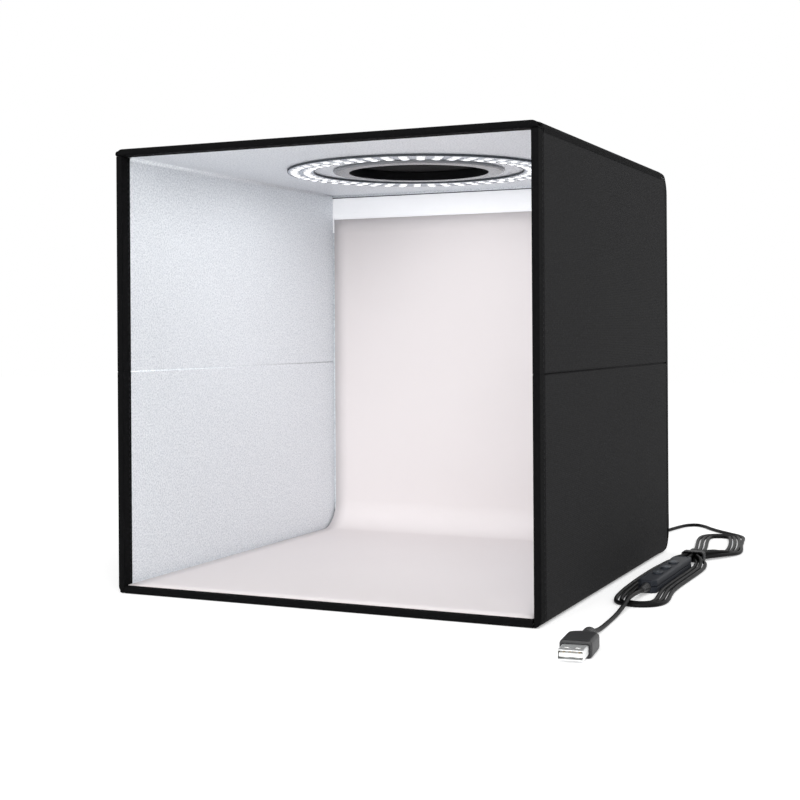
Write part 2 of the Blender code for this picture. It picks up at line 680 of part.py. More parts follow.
add("flap_pull_tab", block("flap_pull_tab", (flap_half + SEAT, hole_y - PULL_WIDTH / 2, pull_low),
                           (flap_half + SEAT + PULL_LENGTH, hole_y + PULL_WIDTH / 2, pull_low + PULL_THICK)),
    black_tape, flap)
patch_start = flap_half + 2 * SEAT
add("flap_hook_patch", block("flap_hook_patch", (patch_start, hole_y - PULL_WIDTH / 2, HEIGHT + SEAT),
                             (patch_start + PATCH_LENGTH, hole_y + PULL_WIDTH / 2,
                              HEIGHT + SEAT + PATCH_THICK)), black_tape, top)
hem_end = -flap_half - SEAT - FLAP_HINGE_GAP
hem_high = flap_high - SEAT
hem_outline = [(hem_end - FLAP_HEM, flap_low), (hem_end, flap_low), (hem_end, hem_high),
               (hem_end - FLAP_HEM_THICK, hem_high), (hem_end - FLAP_HEM_THICK, flap_low + FLAP_HEM_THICK),
               (hem_end - FLAP_HEM, flap_low + FLAP_HEM_THICK)]
add("flap_hinge_hem", plate("flap_hinge_hem", hem_outline, "Y", hole_y - flap_half, hole_y + flap_half),
    black_tape, top)


# The grommet, its tapered boot and the cord's way out

neck_start_y = frame_rear_y + SEAT
flange_low = back_y + SEAT - neck_start_y
boot_low = flange_low + GROMMET_FLANGE_THICK
grommet_profile = [
    (0, 0), (GROMMET_NECK, 0), (GROMMET_NECK, flange_low), (GROMMET_FLANGE, flange_low),
    (GROMMET_FLANGE, boot_low), (GROMMET_BOOT, boot_low), (GROMMET_TIP, boot_low + GROMMET_TAIL),
    (0, boot_low + GROMMET_TAIL)]
add("cable_grommet", turned("cable_grommet", grommet_profile,
                            (grommet_x, neck_start_y, GROMMET_HEIGHT), "Y", 24),
    soft_plastic, root, smooth=True)
exit_y = neck_start_y + grommet_profile[-1][1]


# The inline dimmer

case_x = CASE_X
case_low_y = CASE_CENTRE_Y - CASE_LENGTH / 2
case_high_y = CASE_CENTRE_Y + CASE_LENGTH / 2
seam_z = CASE_HEIGHT / 2
seam_low = seam_z - SEAT / 2
seam_high = seam_z + SEAT / 2


def case_outline(inset):
    """The dimmer's outline, with its corners cut off."""
    wide = CASE_WIDTH / 2 - inset
    low, high = case_low_y + inset, case_high_y - inset
    cut = CASE_CHAMFER
    return [(case_x - wide + cut, low), (case_x + wide - cut, low), (case_x + wide, low + cut),
            (case_x + wide, high - cut), (case_x + wide - cut, high), (case_x - wide + cut, high),
            (case_x - wide, high - cut), (case_x - wide, low + cut)]


lower_mesh = soften(plate("controller_lower_case", case_outline(0), "Z", 0, seam_low),
                    lambda v: v.z < MM * MM, CASE_EDGE, 2)
upper_mesh = soften(plate("controller_upper_case", case_outline(0), "Z", seam_high, CASE_HEIGHT),
                    lambda v: v.z > CASE_HEIGHT - MM * MM, CASE_EDGE, 2)
lower_case = add("controller_lower_case", lower_mesh, case_plastic, root)
upper_case = add("controller_upper_case", upper_mesh, case_plastic, root)
for case, low, high in ((lower_case, CASE_WALL, seam_z + OVERRUN),
                        (upper_case, seam_z - OVERRUN, CASE_HEIGHT - CASE_WALL)):
    combine(case, add_cutter(f"{case.name}_room", plate(f"{case.name}_room", case_outline(CASE_WALL),
                                                        "Z", low, high)))
    for end_name, end_y in (("near", case_low_y), ("far", case_high_y)):
        hole = turned(f"{case.name}_{end_name}", [
            (0, 0), (RELIEF_NECK + SEAT, 0), (RELIEF_NECK + SEAT, 2 * OVERRUN), (0, 2 * OVERRUN)],
            (case_x, end_y - OVERRUN, seam_z), "Y", 16)
        combine(case, add_cutter(f"{case.name}_{end_name}", hole))

board_low = CASE_WALL + SEAT
room_half = CASE_WIDTH / 2 - CASE_WALL - SEAT
room_reach = CASE_LENGTH / 2 - CASE_WALL - CASE_CHAMFER - RELIEF_INSIDE
add("controller_board", block("controller_board", (case_x - room_half, CASE_CENTRE_Y - room_reach, board_low),
                              (case_x + room_half, CASE_CENTRE_Y + room_reach, board_low + CASE_BOARD)),
    green_board, root)


def stadium(x, y, length, width):
    """A slot outline with round ends, along Y."""
    radius = width / 2
    reach = length / 2 - radius
    return arc((x, y + reach), radius, 0, math.pi) + arc((x, y - reach), radius, math.pi, 2 * math.pi)


stem_low = board_low + CASE_BOARD + BUTTON_TRAVEL + SEAT
button_low = CASE_HEIGHT - CASE_WALL - BUTTON_PROUD
for name, place in (("button_dimmer", -1), ("button_brighter", 0), ("button_power", 1)):
    y = CASE_CENTRE_Y + place * BUTTON_PITCH
    axis = axis_empty(f"{name}_axis", (case_x, y, CASE_HEIGHT), root)
    top_z = CASE_HEIGHT + BUTTON_PROUD
    cap = soften(plate(name, stadium(case_x, y, BUTTON_LENGTH, BUTTON_WIDTH), "Z", button_low, top_z),
                 lambda v: v.z > CASE_HEIGHT, BUTTON_PROUD / 2, 2)
    button = add(name, cap, key_plastic, axis)
    stem_height = button_low - stem_low + SEAT
    stem = turned(f"{name}_stem", [(0, 0), (BUTTON_STEM / 2, 0), (BUTTON_STEM / 2, stem_height),
                                   (0, stem_height)], (case_x, y, stem_low), steps=12)
    combine(button, add_cutter(f"{name}_stem", stem), "UNION")
    window = plate(f"{name}_window", stadium(case_x, y, BUTTON_LENGTH + 2 * SEAT, BUTTON_WIDTH + 2 * SEAT),
                   "Z", seam_z, CASE_HEIGHT + OVERRUN)
    combine(upper_case, add_cutter(f"{name}_window", window))

relief_profile = [
    (0, -RELIEF_INSIDE - CASE_WALL), (RELIEF_NECK, -RELIEF_INSIDE - CASE_WALL), (RELIEF_NECK, SEAT),
    (RELIEF_WIDE, SEAT), (RELIEF_WIDE, SEAT + RELIEF_LENGTH / 4), (RELIEF_TIP, RELIEF_LENGTH),
    (0, RELIEF_LENGTH)]
add("relief_in", turned("relief_in", relief_profile, (case_x, case_high_y, seam_z), "Y", 20),
    soft_plastic, root, smooth=True)
add("relief_out", turned("relief_out", relief_profile, (case_x, case_low_y, seam_z), "-Y", 20),
    soft_plastic, root, smooth=True)


# The cord

def smooth_route(points, count):
    """Evenly spaced points on one smooth curve through the chosen points, between straight ends."""
    fine = []
    for a, b, c, d in zip(points, points[1:], points[2:], points[3:]):
        before, along, after = [math.sqrt((q - p).length) for p, q in ((a, b), (b, c), (c, d))]
        leave = (c - b) + along * ((b - a) / before - (c - a) / (before + along))
        arrive = (c - b) + along * ((d - c) / after - (d - b) / (along + after))
        for step in range(16):
            t = step / 16
            fine.append(b + leave * t + (3 * (c - b) - 2 * leave - arrive) * t * t
                        + (leave + arrive - 2 * (c - b)) * t ** 3)
    fine.append(points[-2])
    travelled = [0.0]
    for a, b in zip(fine, fine[1:]):
        travelled.append(travelled[-1] + (b - a).length)
    route, i = [points[0]], 0
    for k in range(count):
        want = travelled[-1] * k / (count - 1)
        while i < len(fine) - 2 and travelled[i + 1] < want:
            i += 1
        share = (want - travelled[i]) / (travelled[i + 1] - travelled[i])
        route.append(fine[i].lerp(fine[i + 1], min(share, 1.0)))
    return route + [points[-1]]


def tube(name, points, radius, resolution):
    """A round tube along the points, its ends closed."""
    curve = bpy.data.curves.new(name, "CURVE")
    curve.dimensions = "3D"
    curve.bevel_depth = radius
    curve.bevel_resolution = resolution
    curve.use_fill_caps = True
    spline = curve.splines.new("POLY")
    spline.points.add(len(points) - 1)
    for point, place in zip(spline.points, points):
        point.co = (*place, 1)
    return lay_curve(name, curve, Matrix.Identity(4))


# The hank's middle line on the table, from its near round end to its far one
near_middle = Vector((152.5, -49, 0)) * MM
far_middle = Vector((146.5, 193, 0)) * MM
shoulders = [Vector((x, y, 0)) * MM for x, y in ((149, -12), (149, 66), (155, 133))]
waist = [Vector((x, y, 0)) * MM for x, y in ((149.5, 90.5), (150, 97.5))]
drawn = [Vector((x, y, 0)) * MM for x, y in ((149.2, 79.5), (152.5, 115.5))]
run_line = [shoulders[0], shoulders[1], drawn[0], waist[0], waist[1], drawn[1], shoulders[2]]


def strand(side, place, turn, far_turn):
    """Where a run passes a place of the middle line; the turns count from the outside in."""
    if place.y < waist[0].y:
        reach = NEAR_REACH - turn * LOOP_STEP
    else:
        reach = FAR_REACH - far_turn * LOOP_STEP
    rank = LOOPS - turn
    waist_reach = rank * WAIST_STEP / 2
    waist_lift = TIE_THICK + SEAT + (0 if rank % 2 else WAIST_CLIMB)
    if place in waist:
        reach, lift = waist_reach, waist_lift
    elif place in drawn:
        reach, lift = waist_reach + (reach - waist_reach) * DRAWN_SHARE, waist_lift * CLIMBED_SHARE
    else:
        lift = 0
    return place + Vector((side * reach, 0, CORD / 2 + lift))


def hank_end(middle, reach, start):
    """The round end of a loop, clockwise seen from above."""
    turns = [start - math.pi * i / TIP_STEPS for i in range(TIP_STEPS + 1)]
    return [middle + Vector((reach * math.cos(t), reach * math.sin(t), CORD / 2)) for t in turns]


def hank_route():
    """All the loops as one line, from the outer run to the dimmer."""
    way = (far_middle - shoulders[2]) * (HANK_START - shoulders[2].y) / (far_middle.y - shoulders[2].y)
    points = [strand(1, shoulders[2] + way, 0, 0)]
    for turn in range(LOOPS):
        points += [strand(1, place, turn, turn) for place in reversed(run_line)]
        points += hank_end(near_middle, NEAR_REACH - turn * LOOP_STEP, 0)
        points += [strand(-1, place, turn, turn + 1) for place in run_line]
        points += hank_end(far_middle, FAR_REACH - (turn + 1) * LOOP_STEP, math.pi)
    points += [strand(1, place, LOOPS, LOOPS) for place in (shoulders[2], drawn[1], *reversed(waist))]
    relief_y = case_high_y + RELIEF_LENGTH + SEAT
    points += [Vector((case_x, relief_y + CORD, seam_z)), Vector((case_x, relief_y, seam_z))]
    return points


def least_gap(points, diameter):
    """The least gap between stretches of the tube that aren't neighbours, measured on fine points."""
    fine, travelled = [], [0.0]
    for a, b in zip(points, points[1:]):
        steps = max(1, round((b - a).length / diameter))
        fine += [a.lerp(b, i / steps) for i in range(steps)]
    for a, b in zip(fine, fine[1:]):
        travelled.append(travelled[-1] + (b - a).length)
    return min((a - b).length for i, a in enumerate(fine) for j, b in enumerate(fine[:i])
               if travelled[i] - travelled[j] > 4 * diameter) - diameter


exit_point = Vector((grommet_x, exit_y + SEAT, GROMMET_HEIGHT))
hank = hank_route()
lead_route = [exit_point, exit_point + Vector((0, CORD, 0))] + [Vector(p) * MM for p in (
    (95.6, 168, 4.6), (97.6, 184, 1.6), (100.6, 201, 1.15), (104.4, 219, 1.15), (107.6, 236, 1.15),
    (111.8, 248.5, 1.15), (117.5, 252, 1.15), (124, 247, 1.15), (131, 236.5, 1.15), (139.5, 225.5, 1.15),
    (148.5, 216, 1.15), (156.5, 207.5, 1.15), (161.2, 199.5, 1.15), (163, 189, 1.15))]
way_in = (hank[0] - hank[1]).normalized()
lead_route += [hank[0] + way_in * (SEAT + CORD), hank[0] + way_in * SEAT]
add("cord_lead", tube("cord_lead", smooth_route(lead_route, 60), CORD / 2, 2), cord_jacket, root, smooth=True)
add("cord_hank", tube("cord_hank", hank, CORD / 2, 1), cord_jacket, root, smooth=True)

plug_start = Vector((154.8, -150, 4)) * MM
plug_way = Vector((math.sin(PLUG_TURN), -math.cos(PLUG_TURN), 0))
relief_end = Vector((case_x, case_low_y - RELIEF_LENGTH - SEAT, seam_z))
plug_route = [relief_end, relief_end + Vector((0, -CORD, 0))] + [Vector(p) * MM for p in (
    (149.0, -40, 3.9), (149.3, -50, 4.4), (149.8, -63, 4.3), (150.6, -77, 2.7), (151.3, -93, 1.35),
    (152.3, -112, 1.15), (153.4, -130, 1.7))] + [plug_start - plug_way * (SEAT + CORD),
                                                plug_start - plug_way * SEAT]
add("plug_cord", tube("plug_cord", smooth_route(plug_route, 46), CORD / 2, 2), cord_jacket, root, smooth=True)

waist_half = LOOPS * WAIST_STEP / 2 + CORD / 2 + SEAT
tie_room = SEAT + CORD + WAIST_CLIMB + SEAT
tie_middle = (waist[0] + waist[1]) / 2


def tie_section(outset, low, high):
    """The tie's section round the strands, as (x, z) points."""
    wide = waist_half + outset
    corner = TIE_CORNER + outset
    return (arc((tie_middle.x + wide - corner, low + corner), corner, -math.pi / 2, 0, EDGE_STEPS)
            + arc((tie_middle.x + wide - corner, high - corner), corner, 0, math.pi / 2, EDGE_STEPS)
            + arc((tie_middle.x - wide + corner, high - corner), corner, math.pi / 2, math.pi, EDGE_STEPS)
            + arc((tie_middle.x - wide + corner, low + corner), corner, math.pi, 1.5 * math.pi, EDGE_STEPS))


tie = add("cord_tie", plate("cord_tie", tie_section(TIE_THICK, 0, 2 * TIE_THICK + tie_room), "Y",
                            tie_middle.y - TIE_LENGTH / 2, tie_middle.y + TIE_LENGTH / 2), black_tape, root)
combine(tie, add_cutter("tie_room", plate("tie_room", tie_section(0, TIE_THICK, TIE_THICK + tie_room), "Y",
                                          tie_middle.y - TIE_LENGTH, tie_middle.y + TIE_LENGTH)))


# The plug, modelled along -Y and turned with its empty

plug = axis_empty("plug_seat", plug_start, root, PLUG_TURN)


def add_on_plug(name, mesh, material):
    """Carries a piece that is modelled from the plug's cord end."""
    made = add(name, mesh, material, plug)
    made.matrix_parent_inverse = Matrix.Identity(4)
    return made


plug_flare_y = -PLUG_COLLAR_LENGTH
plug_body_y = plug_flare_y - PLUG_FLARE
plug_front_y = plug_body_y - PLUG_BODY_LENGTH
plug_low = -plug_start.z
body_wide = PLUG_BODY_WIDTH / 2
collar_wide = PLUG_COLLAR_WIDTH / 2
plug_outline = [(collar_wide, 0), (-collar_wide, 0), (-collar_wide, plug_flare_y), (-body_wide, plug_body_y),
                (-body_wide, plug_front_y), (body_wide, plug_front_y), (body_wide, plug_body_y),
                (collar_wide, plug_flare_y)]
overmould = add_on_plug("plug_overmould", soften(
    plate("plug_overmould", plug_outline, "Z", plug_low, plug_low + PLUG_HEIGHT),
    lambda v: True, PLUG_EDGE, 2), soft_plastic)
shell_half, shell_rise = SHELL_WIDTH / 2, SHELL_HEIGHT / 2
combine(overmould, add_cutter("shell_seat", block(
    "shell_seat", (-shell_half - SEAT, plug_front_y - OVERRUN, -shell_rise - SEAT),
    (shell_half + SEAT, plug_front_y + SHELL_IN + SEAT, shell_rise + SEAT))))
shell_front_y = plug_front_y - SHELL_OUT
shell = add_on_plug("plug_shell", soften(
    block("plug_shell", (-shell_half, shell_front_y, -shell_rise),
          (shell_half, plug_front_y + SHELL_IN, shell_rise)),
    lambda v: True, SHELL_WALL, 1), plated_steel)
combine(shell, add_cutter("shell_room", block(
    "shell_room", (-shell_half + SHELL_WALL, shell_front_y - OVERRUN, -shell_rise + SHELL_WALL),
    (shell_half - SHELL_WALL, plug_front_y + SHELL_IN + OVERRUN, shell_rise - SHELL_WALL))))
for sign in (-1, 1):
    x = sign * WINDOW_PITCH / 2
    y = shell_front_y + WINDOW_SETBACK
    combine(shell, add_cutter(f"shell_window_{sign}", block(
        f"shell_window_{sign}", (x - WINDOW / 2, y - WINDOW / 2, -shell_rise - OVERRUN),
        (x + WINDOW / 2, y + WINDOW / 2, shell_rise + OVERRUN))))
for seat in ("shell_seat", "shell_room", "shell_window_-1", "shell_window_1"):
    bpy.data.objects[seat].parent = plug

tongue_half = shell_half - SHELL_WALL - SEAT
tongue_high = shell_rise - SHELL_WALL - SEAT
tongue_rear_y = plug_front_y + SHELL_IN
tongue_low = -tongue_high + TONGUE_RAISE
tongue = add_on_plug("plug_tongue", block(
    "plug_tongue", (-tongue_half, shell_front_y + TONGUE_SETBACK, tongue_low),
    (tongue_half, tongue_rear_y, tongue_low + TONGUE_THICK)), white_plastic)
tongue_block = add_cutter("tongue_block", block(
    "tongue_block", (-tongue_half, tongue_rear_y - TONGUE_BLOCK, -tongue_high),
    (tongue_half, tongue_rear_y, tongue_high)))
tongue_block.parent = plug
combine(tongue, tongue_block, "UNION")

print("least gap of the hank to itself, mm:", round(least_gap(hank, CORD) / MM, 3))
print("cord length from grommet to dimmer, mm:", round(sum(
    (b - a).length for line in (smooth_route(lead_route, 60), hank) for a, b in zip(line, line[1:])) / MM))
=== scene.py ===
"""The looks of a folding light tent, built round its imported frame.

The sections follow the tent as it is put together: the studio, the cord and what is on it, the base,
the folding sides, the top with its light ring and camera flap, the back, and the backdrop sheet.
Everything is in metres, +Z up, with the open front towards -Y.
"""
import json
import math

import bmesh
import bpy
from mathutils import Matrix, Vector

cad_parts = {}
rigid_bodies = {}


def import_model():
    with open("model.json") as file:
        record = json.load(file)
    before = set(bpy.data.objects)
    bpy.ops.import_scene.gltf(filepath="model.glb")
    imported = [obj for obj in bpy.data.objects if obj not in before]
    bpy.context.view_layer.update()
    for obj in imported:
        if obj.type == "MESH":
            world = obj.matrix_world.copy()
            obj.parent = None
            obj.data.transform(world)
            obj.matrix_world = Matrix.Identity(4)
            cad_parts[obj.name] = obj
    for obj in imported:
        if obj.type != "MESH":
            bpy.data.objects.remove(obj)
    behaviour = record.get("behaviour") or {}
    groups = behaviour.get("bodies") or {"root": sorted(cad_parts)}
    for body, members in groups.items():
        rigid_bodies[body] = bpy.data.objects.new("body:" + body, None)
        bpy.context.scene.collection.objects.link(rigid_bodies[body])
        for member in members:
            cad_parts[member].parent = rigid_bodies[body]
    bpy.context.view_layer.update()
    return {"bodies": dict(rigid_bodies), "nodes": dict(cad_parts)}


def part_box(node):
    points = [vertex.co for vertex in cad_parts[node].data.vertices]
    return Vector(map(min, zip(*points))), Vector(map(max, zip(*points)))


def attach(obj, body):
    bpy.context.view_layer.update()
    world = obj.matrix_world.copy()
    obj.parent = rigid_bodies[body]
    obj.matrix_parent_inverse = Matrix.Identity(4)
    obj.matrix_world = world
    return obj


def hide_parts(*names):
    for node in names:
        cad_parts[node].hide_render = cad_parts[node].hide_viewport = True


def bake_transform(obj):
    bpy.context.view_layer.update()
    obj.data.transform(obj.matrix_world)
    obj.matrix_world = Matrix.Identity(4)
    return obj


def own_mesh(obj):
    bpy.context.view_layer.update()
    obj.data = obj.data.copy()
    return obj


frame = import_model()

MM = 0.001
SLACK = 0.02 * MM


# The studio: a pale floor, soft lamps at a plain level, and the camera at the photograph's angle.
# The box's nine visible corners gave the camera's place, its lens and the small rise of its frame.

def hex_colour(text):
    """The linear colour of an sRGB hex value."""
    channels = [int(text[i:i + 2], 16) / 255 for i in (0, 2, 4)]
    return (*[c / 12.92 if c <= 0.04045 else ((c + 0.055) / 1.055) ** 2.4 for c in channels], 1.0)


def feed(tree, target, **links):
    """Feeds sockets from values, sockets or nodes' first outputs; a name such as _2 is a number."""
    for key, value in links.items():
        socket = target.inputs[int(key[1:]) if key[1:].isdigit() else key.replace("_", " ")]
        if isinstance(value, bpy.types.Node):
            value = value.outputs[0]
        if isinstance(value, bpy.types.NodeSocket):
            tree.links.new(value, socket)
        else:
            socket.default_value = value


def node(tree, kind, settings=None, stops=(), **links):
    """Adds a shader node with its settings, or a ramp's stops, and feeds its sockets."""
    made = tree.nodes.new(kind)
    for key, value in (settings or {}).items():
        setattr(made, key, value)
    for i, (share, colour) in enumerate(stops):
        stop = made.color_ramp.elements[i]
        stop.position, stop.color = share, hex_colour(colour)
    feed(tree, made, **links)
    return made


def new_material(name):
    """A material, its tree, its Principled shader and the socket of the object's own coordinates."""
    made = bpy.data.materials.new(name)
    made.use_nodes = True
    tree = made.node_tree
    return made, tree, tree.nodes["Principled BSDF"], node(tree, "ShaderNodeTexCoord").outputs["Object"]


def show(name, data):
    """Puts a mesh, curve, lamp or camera in the scene as an object."""
    made = bpy.data.objects.new(name, data)
    bpy.context.scene.collection.objects.link(made)
    return made


def disk_lamp(name, size, power):
    """A soft round lamp."""
    light = bpy.data.lights.new(name, "AREA")
    light.shape, light.size, light.energy = "DISK", size, power
    return show(name, light)


CAMERA_PLACE = (0.34379, -0.78273, 0.14593)
CAMERA_TURN = 24.32
CAMERA_ROLL = -0.361
LENS = 62.69
FRAME_RISE = -0.0847
lens = bpy.data.cameras.new("camera")
lens.lens, lens.sensor_width, lens.shift_y = LENS, 36, FRAME_RISE
camera = show("camera", lens)
camera.matrix_world = (Matrix.Translation(CAMERA_PLACE) @ Matrix.Rotation(math.radians(CAMERA_TURN), 4, "Z")
                       @ Matrix.Rotation(math.pi / 2, 4, "X")
                       @ Matrix.Rotation(math.radians(CAMERA_ROLL), 4, "Z"))
bpy.context.scene.camera = camera
bpy.context.scene.view_settings.view_transform = "Standard"

SKY = 0.8
FLOOR_SIZE = 6.0
FLOOR_LIFT = 0.3


def white_to_the_eye(tree):
    """Light Path's share for the rays that show the background: camera, glossy and transmission."""
    path = node(tree, "ShaderNodeLightPath").outputs
    seen = node(tree, "ShaderNodeMath", {"operation": "MAXIMUM"}, _0=path["Is Camera Ray"],
                _1=path["Is Glossy Ray"])
    return node(tree, "ShaderNodeMath", {"operation": "MAXIMUM"}, _0=seen, _1=path["Is Transmission Ray"])


world = bpy.data.worlds.new("studio")
world.use_nodes = True
bpy.context.scene.world = world
sky_tree = world.node_tree
sky_tree.nodes.clear()
sky_light = node(sky_tree, "ShaderNodeBackground", Color=(1, 1, 1, 1), Strength=SKY)
sky_white = node(sky_tree, "ShaderNodeBackground", Color=(1, 1, 1, 1), Strength=1.0)
sky_mix = node(sky_tree, "ShaderNodeMixShader", _0=white_to_the_eye(sky_tree), _1=sky_light, _2=sky_white)
node(sky_tree, "ShaderNodeOutputWorld", Surface=sky_mix)

floor_bm = bmesh.new()
bmesh.ops.create_grid(floor_bm, x_segments=1, y_segments=1, size=FLOOR_SIZE / 2)
floor_mesh = bpy.data.meshes.new("studio_floor")
floor_bm.to_mesh(floor_mesh)
floor_bm.free()
paper, tree, shader, _ = new_material("white studio paper")
lift = node(tree, "ShaderNodeMath", {"operation": "MULTIPLY"}, _0=white_to_the_eye(tree), _1=FLOOR_LIFT)
glow = node(tree, "ShaderNodeEmission", Color=(1, 1, 1, 1), Strength=lift)
both = node(tree, "ShaderNodeAddShader", _0=shader, _1=glow)
feed(tree, shader, Base_Color=hex_colour("f4f4f4"), Roughness=0.9, Specular_IOR_Level=0.0)
feed(tree, tree.nodes["Material Output"], Surface=both)
floor_mesh.materials.append(paper)
floor = show("studio_floor", floor_mesh)
floor.location.z = -SLACK

for name, place, aim, size, power in (
        ("front_lamp", (0.5, -1.6, 0.7), (0, 0, 0.1), 1.4, 22.0),
        ("right_lamp", (1.2, 0.0, 1.6), (0.1, 0, 0.1), 1.2, 4.0)):
    lamp = disk_lamp(name, size, power)
    lamp.location = place
    lamp.rotation_euler = (Vector(aim) - Vector(place)).to_track_quat("-Z", "Y").to_euler()


# The cord: 1.96 m of limp two-core lead in a smooth black jacket, 2.3 mm thick. It leaves the grommet
# behind the tent, curls on the table into a hank of three flat loops, and ends in the inline dimmer.

CORD = 2.3 * MM
LOOPS = 3
LOOP_STEP = 3.0 * MM
WAIST_STEP = 3.2 * MM
WAIST_CLIMB = 2.4 * MM
DRAWN_SHARE = 0.7
CLIMBED_SHARE = 0.8
NEAR_REACH = 13.2 * MM
FAR_REACH = 15.9 * MM
HANK_START = 166 * MM
TIP_STEPS = 4
TIE_THICK = 0.8 * MM
SEAT = 0.3 * MM

grommet_low, grommet_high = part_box("cable_grommet")
exit_point = Vector(((grommet_low.x + grommet_high.x) / 2, grommet_high.y + SEAT,
                     (grommet_low.z + grommet_high.z) / 2))
near_middle = Vector((152.5, -49, 0)) * MM
far_middle = Vector((146.5, 193, 0)) * MM
shoulders = [Vector((x, y, 0)) * MM for x, y in ((149, -12), (149, 66), (155, 133))]
waist = [Vector((x, y, 0)) * MM for x, y in ((149.5, 90.5), (150, 97.5))]
drawn = [Vector((x, y, 0)) * MM for x, y in ((149.2, 79.5), (152.5, 115.5))]
run_line = [shoulders[0], shoulders[1], drawn[0], waist[0], waist[1], drawn[1], shoulders[2]]


def strand(side, place, turn, far_turn):
    """Where a run passes a place of the hank's middle line; the turns count from the outside in."""
    if place.y < waist[0].y:
        reach = NEAR_REACH - turn * LOOP_STEP
    else:
        reach = FAR_REACH - far_turn * LOOP_STEP
    rank = LOOPS - turn
    waist_reach = rank * WAIST_STEP / 2
    waist_lift = TIE_THICK + SEAT + (0 if rank % 2 else WAIST_CLIMB)
    if place in waist:
        reach, lift = waist_reach, waist_lift
    elif place in drawn:
        reach, lift = waist_reach + (reach - waist_reach) * DRAWN_SHARE, waist_lift * CLIMBED_SHARE
    else:
        lift = 0
    return place + Vector((side * reach, 0, CORD / 2 + lift))


def hank_end(middle, reach, start):
    """The round end of a loop, clockwise seen from above."""
    turns = [start - math.pi * i / TIP_STEPS for i in range(TIP_STEPS + 1)]
    return [middle + Vector((reach * math.cos(t), reach * math.sin(t), CORD / 2)) for t in turns]


def smooth_line(points, steps=6):
    """One smooth curve through the chosen points; long gaps take more time, so round ends stay round."""
    line = [points[0]]
    for a, b, c, d in zip(points, points[1:], points[2:], points[3:]):
        before, along, after = [math.sqrt((q - p).length) for p, q in ((a, b), (b, c), (c, d))]
        leave = (c - b) + along * ((b - a) / before - (c - a) / (before + along))
        arrive = (c - b) + along * ((d - c) / after - (d - b) / (along + after))
        for step in range(steps):
            t = step / steps
            line.append(b + leave * t + (3 * (c - b) - 2 * leave - arrive) * t * t
                        + (leave + arrive - 2 * (c - b)) * t ** 3)
    line += [points[-2], points[-1]]
    return [Vector((p.x, p.y, max(p.z, CORD / 2))) for p in line]


def cord_curve(name, points):
    """A round cord along the points, as one open spline with closed ends."""
    curve = bpy.data.curves.new(name, "CURVE")
    curve.dimensions = "3D"
    curve.bevel_depth = CORD / 2
    curve.bevel_resolution = 4
    curve.use_fill_caps = True
    spline = curve.splines.new("POLY")
    spline.points.add(len(points) - 1)
    for point, place in zip(spline.points, points):
        point.co = (*place, 1)
    spline.use_smooth = True
    return show(name, curve)


relief_in_low, relief_in_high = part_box("relief_in")
relief_out_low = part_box("relief_out")[0]
case_x = (relief_in_low.x + relief_in_high.x) / 2
seam_z = (relief_in_low.z + relief_in_high.z) / 2
way = (far_middle - shoulders[2]) * (HANK_START - shoulders[2].y) / (far_middle.y - shoulders[2].y)
route = [exit_point, exit_point + Vector((0, CORD, 0))] + [Vector(p) * MM for p in (
    (95.6, 168, 4.6), (97.6, 184, 1.6), (100.6, 201, 1.15), (104.4, 219, 1.15), (107.6, 236, 1.15),
    (111.8, 248.5, 1.15), (117.5, 252, 1.15), (124, 247, 1.15), (131, 236.5, 1.15), (139.5, 225.5, 1.15),
    (148.5, 216, 1.15), (156.5, 207.5, 1.15), (161.2, 199.5, 1.15), (163, 189, 1.15))]
route.append(strand(1, shoulders[2] + way, 0, 0))
for turn in range(LOOPS):
    route += [strand(1, place, turn, turn) for place in reversed(run_line)]
    route += hank_end(near_middle, NEAR_REACH - turn * LOOP_STEP, 0)
    route += [strand(-1, place, turn, turn + 1) for place in run_line]
    route += hank_end(far_middle, FAR_REACH - (turn + 1) * LOOP_STEP, math.pi)
route += [strand(1, place, LOOPS, LOOPS) for place in (shoulders[2], drawn[1], *reversed(waist))]
relief_start = Vector((case_x, relief_in_high.y + SEAT, seam_z))
route += [relief_start + Vector((0, CORD, 0)), relief_start]
cord_line = smooth_line(route)
cord = cord_curve("cord", cord_line)

PLUG_TURN = math.radians(6)
plug_start = Vector((154.8, -150, 4)) * MM
plug_way = Vector((math.sin(PLUG_TURN), -math.cos(PLUG_TURN), 0))
relief_end = Vector((case_x, relief_out_low.y - SEAT, seam_z))
plug_route = [relief_end, relief_end + Vector((0, -CORD, 0))] + [Vector(p) * MM for p in (
    (149.0, -40, 3.9), (149.3, -50, 4.4), (149.8, -63, 4.3), (150.6, -77, 2.7), (151.3, -93, 1.35),
    (152.3, -112, 1.15), (153.4, -130, 1.7))] + [plug_start - plug_way * (SEAT + CORD),
                                                plug_start - plug_way * SEAT]
plug_line = smooth_line(plug_route, 8)
plug_cord = cord_curve("plug_lead", plug_line)


def grained(name, colour, pitch, rough, relief=None, detail=2.0, **values):
    """A material of one colour with a fine grain: its roughness wanders, and its relief where given."""
    made, tree, shader, place = new_material(name)
    grain = node(tree, "ShaderNodeTexNoise", Vector=place, Scale=1 / pitch, Detail=detail)
    tone = node(tree, "ShaderNodeMapRange", Value=grain, To_Min=rough[0], To_Max=rough[1])
    feed(tree, shader, Base_Color=hex_colour(colour), Roughness=tone, **values)
    if relief:
        bump = node(tree, "ShaderNodeBump", Height=grain, Strength=relief[0], Distance=relief[1])
        feed(tree, shader, Normal=bump)
    return made


# Cord jacket: soft black vinyl, extruded, so it is smooth with a broad soft shine and faint waves
jacket = grained("extruded black vinyl jacket", "0a0a0b", 4 * MM, (0.4, 0.55), (0.25, 0.1 * MM), 3.0,
                 Specular_IOR_Level=0.1)
for piece, stood_for in ((cord, ("cord_lead", "cord_hank")), (plug_cord, ("plug_cord",))):
    piece.data.materials.append(jacket)
    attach(piece, "base")
    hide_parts(*stood_for)


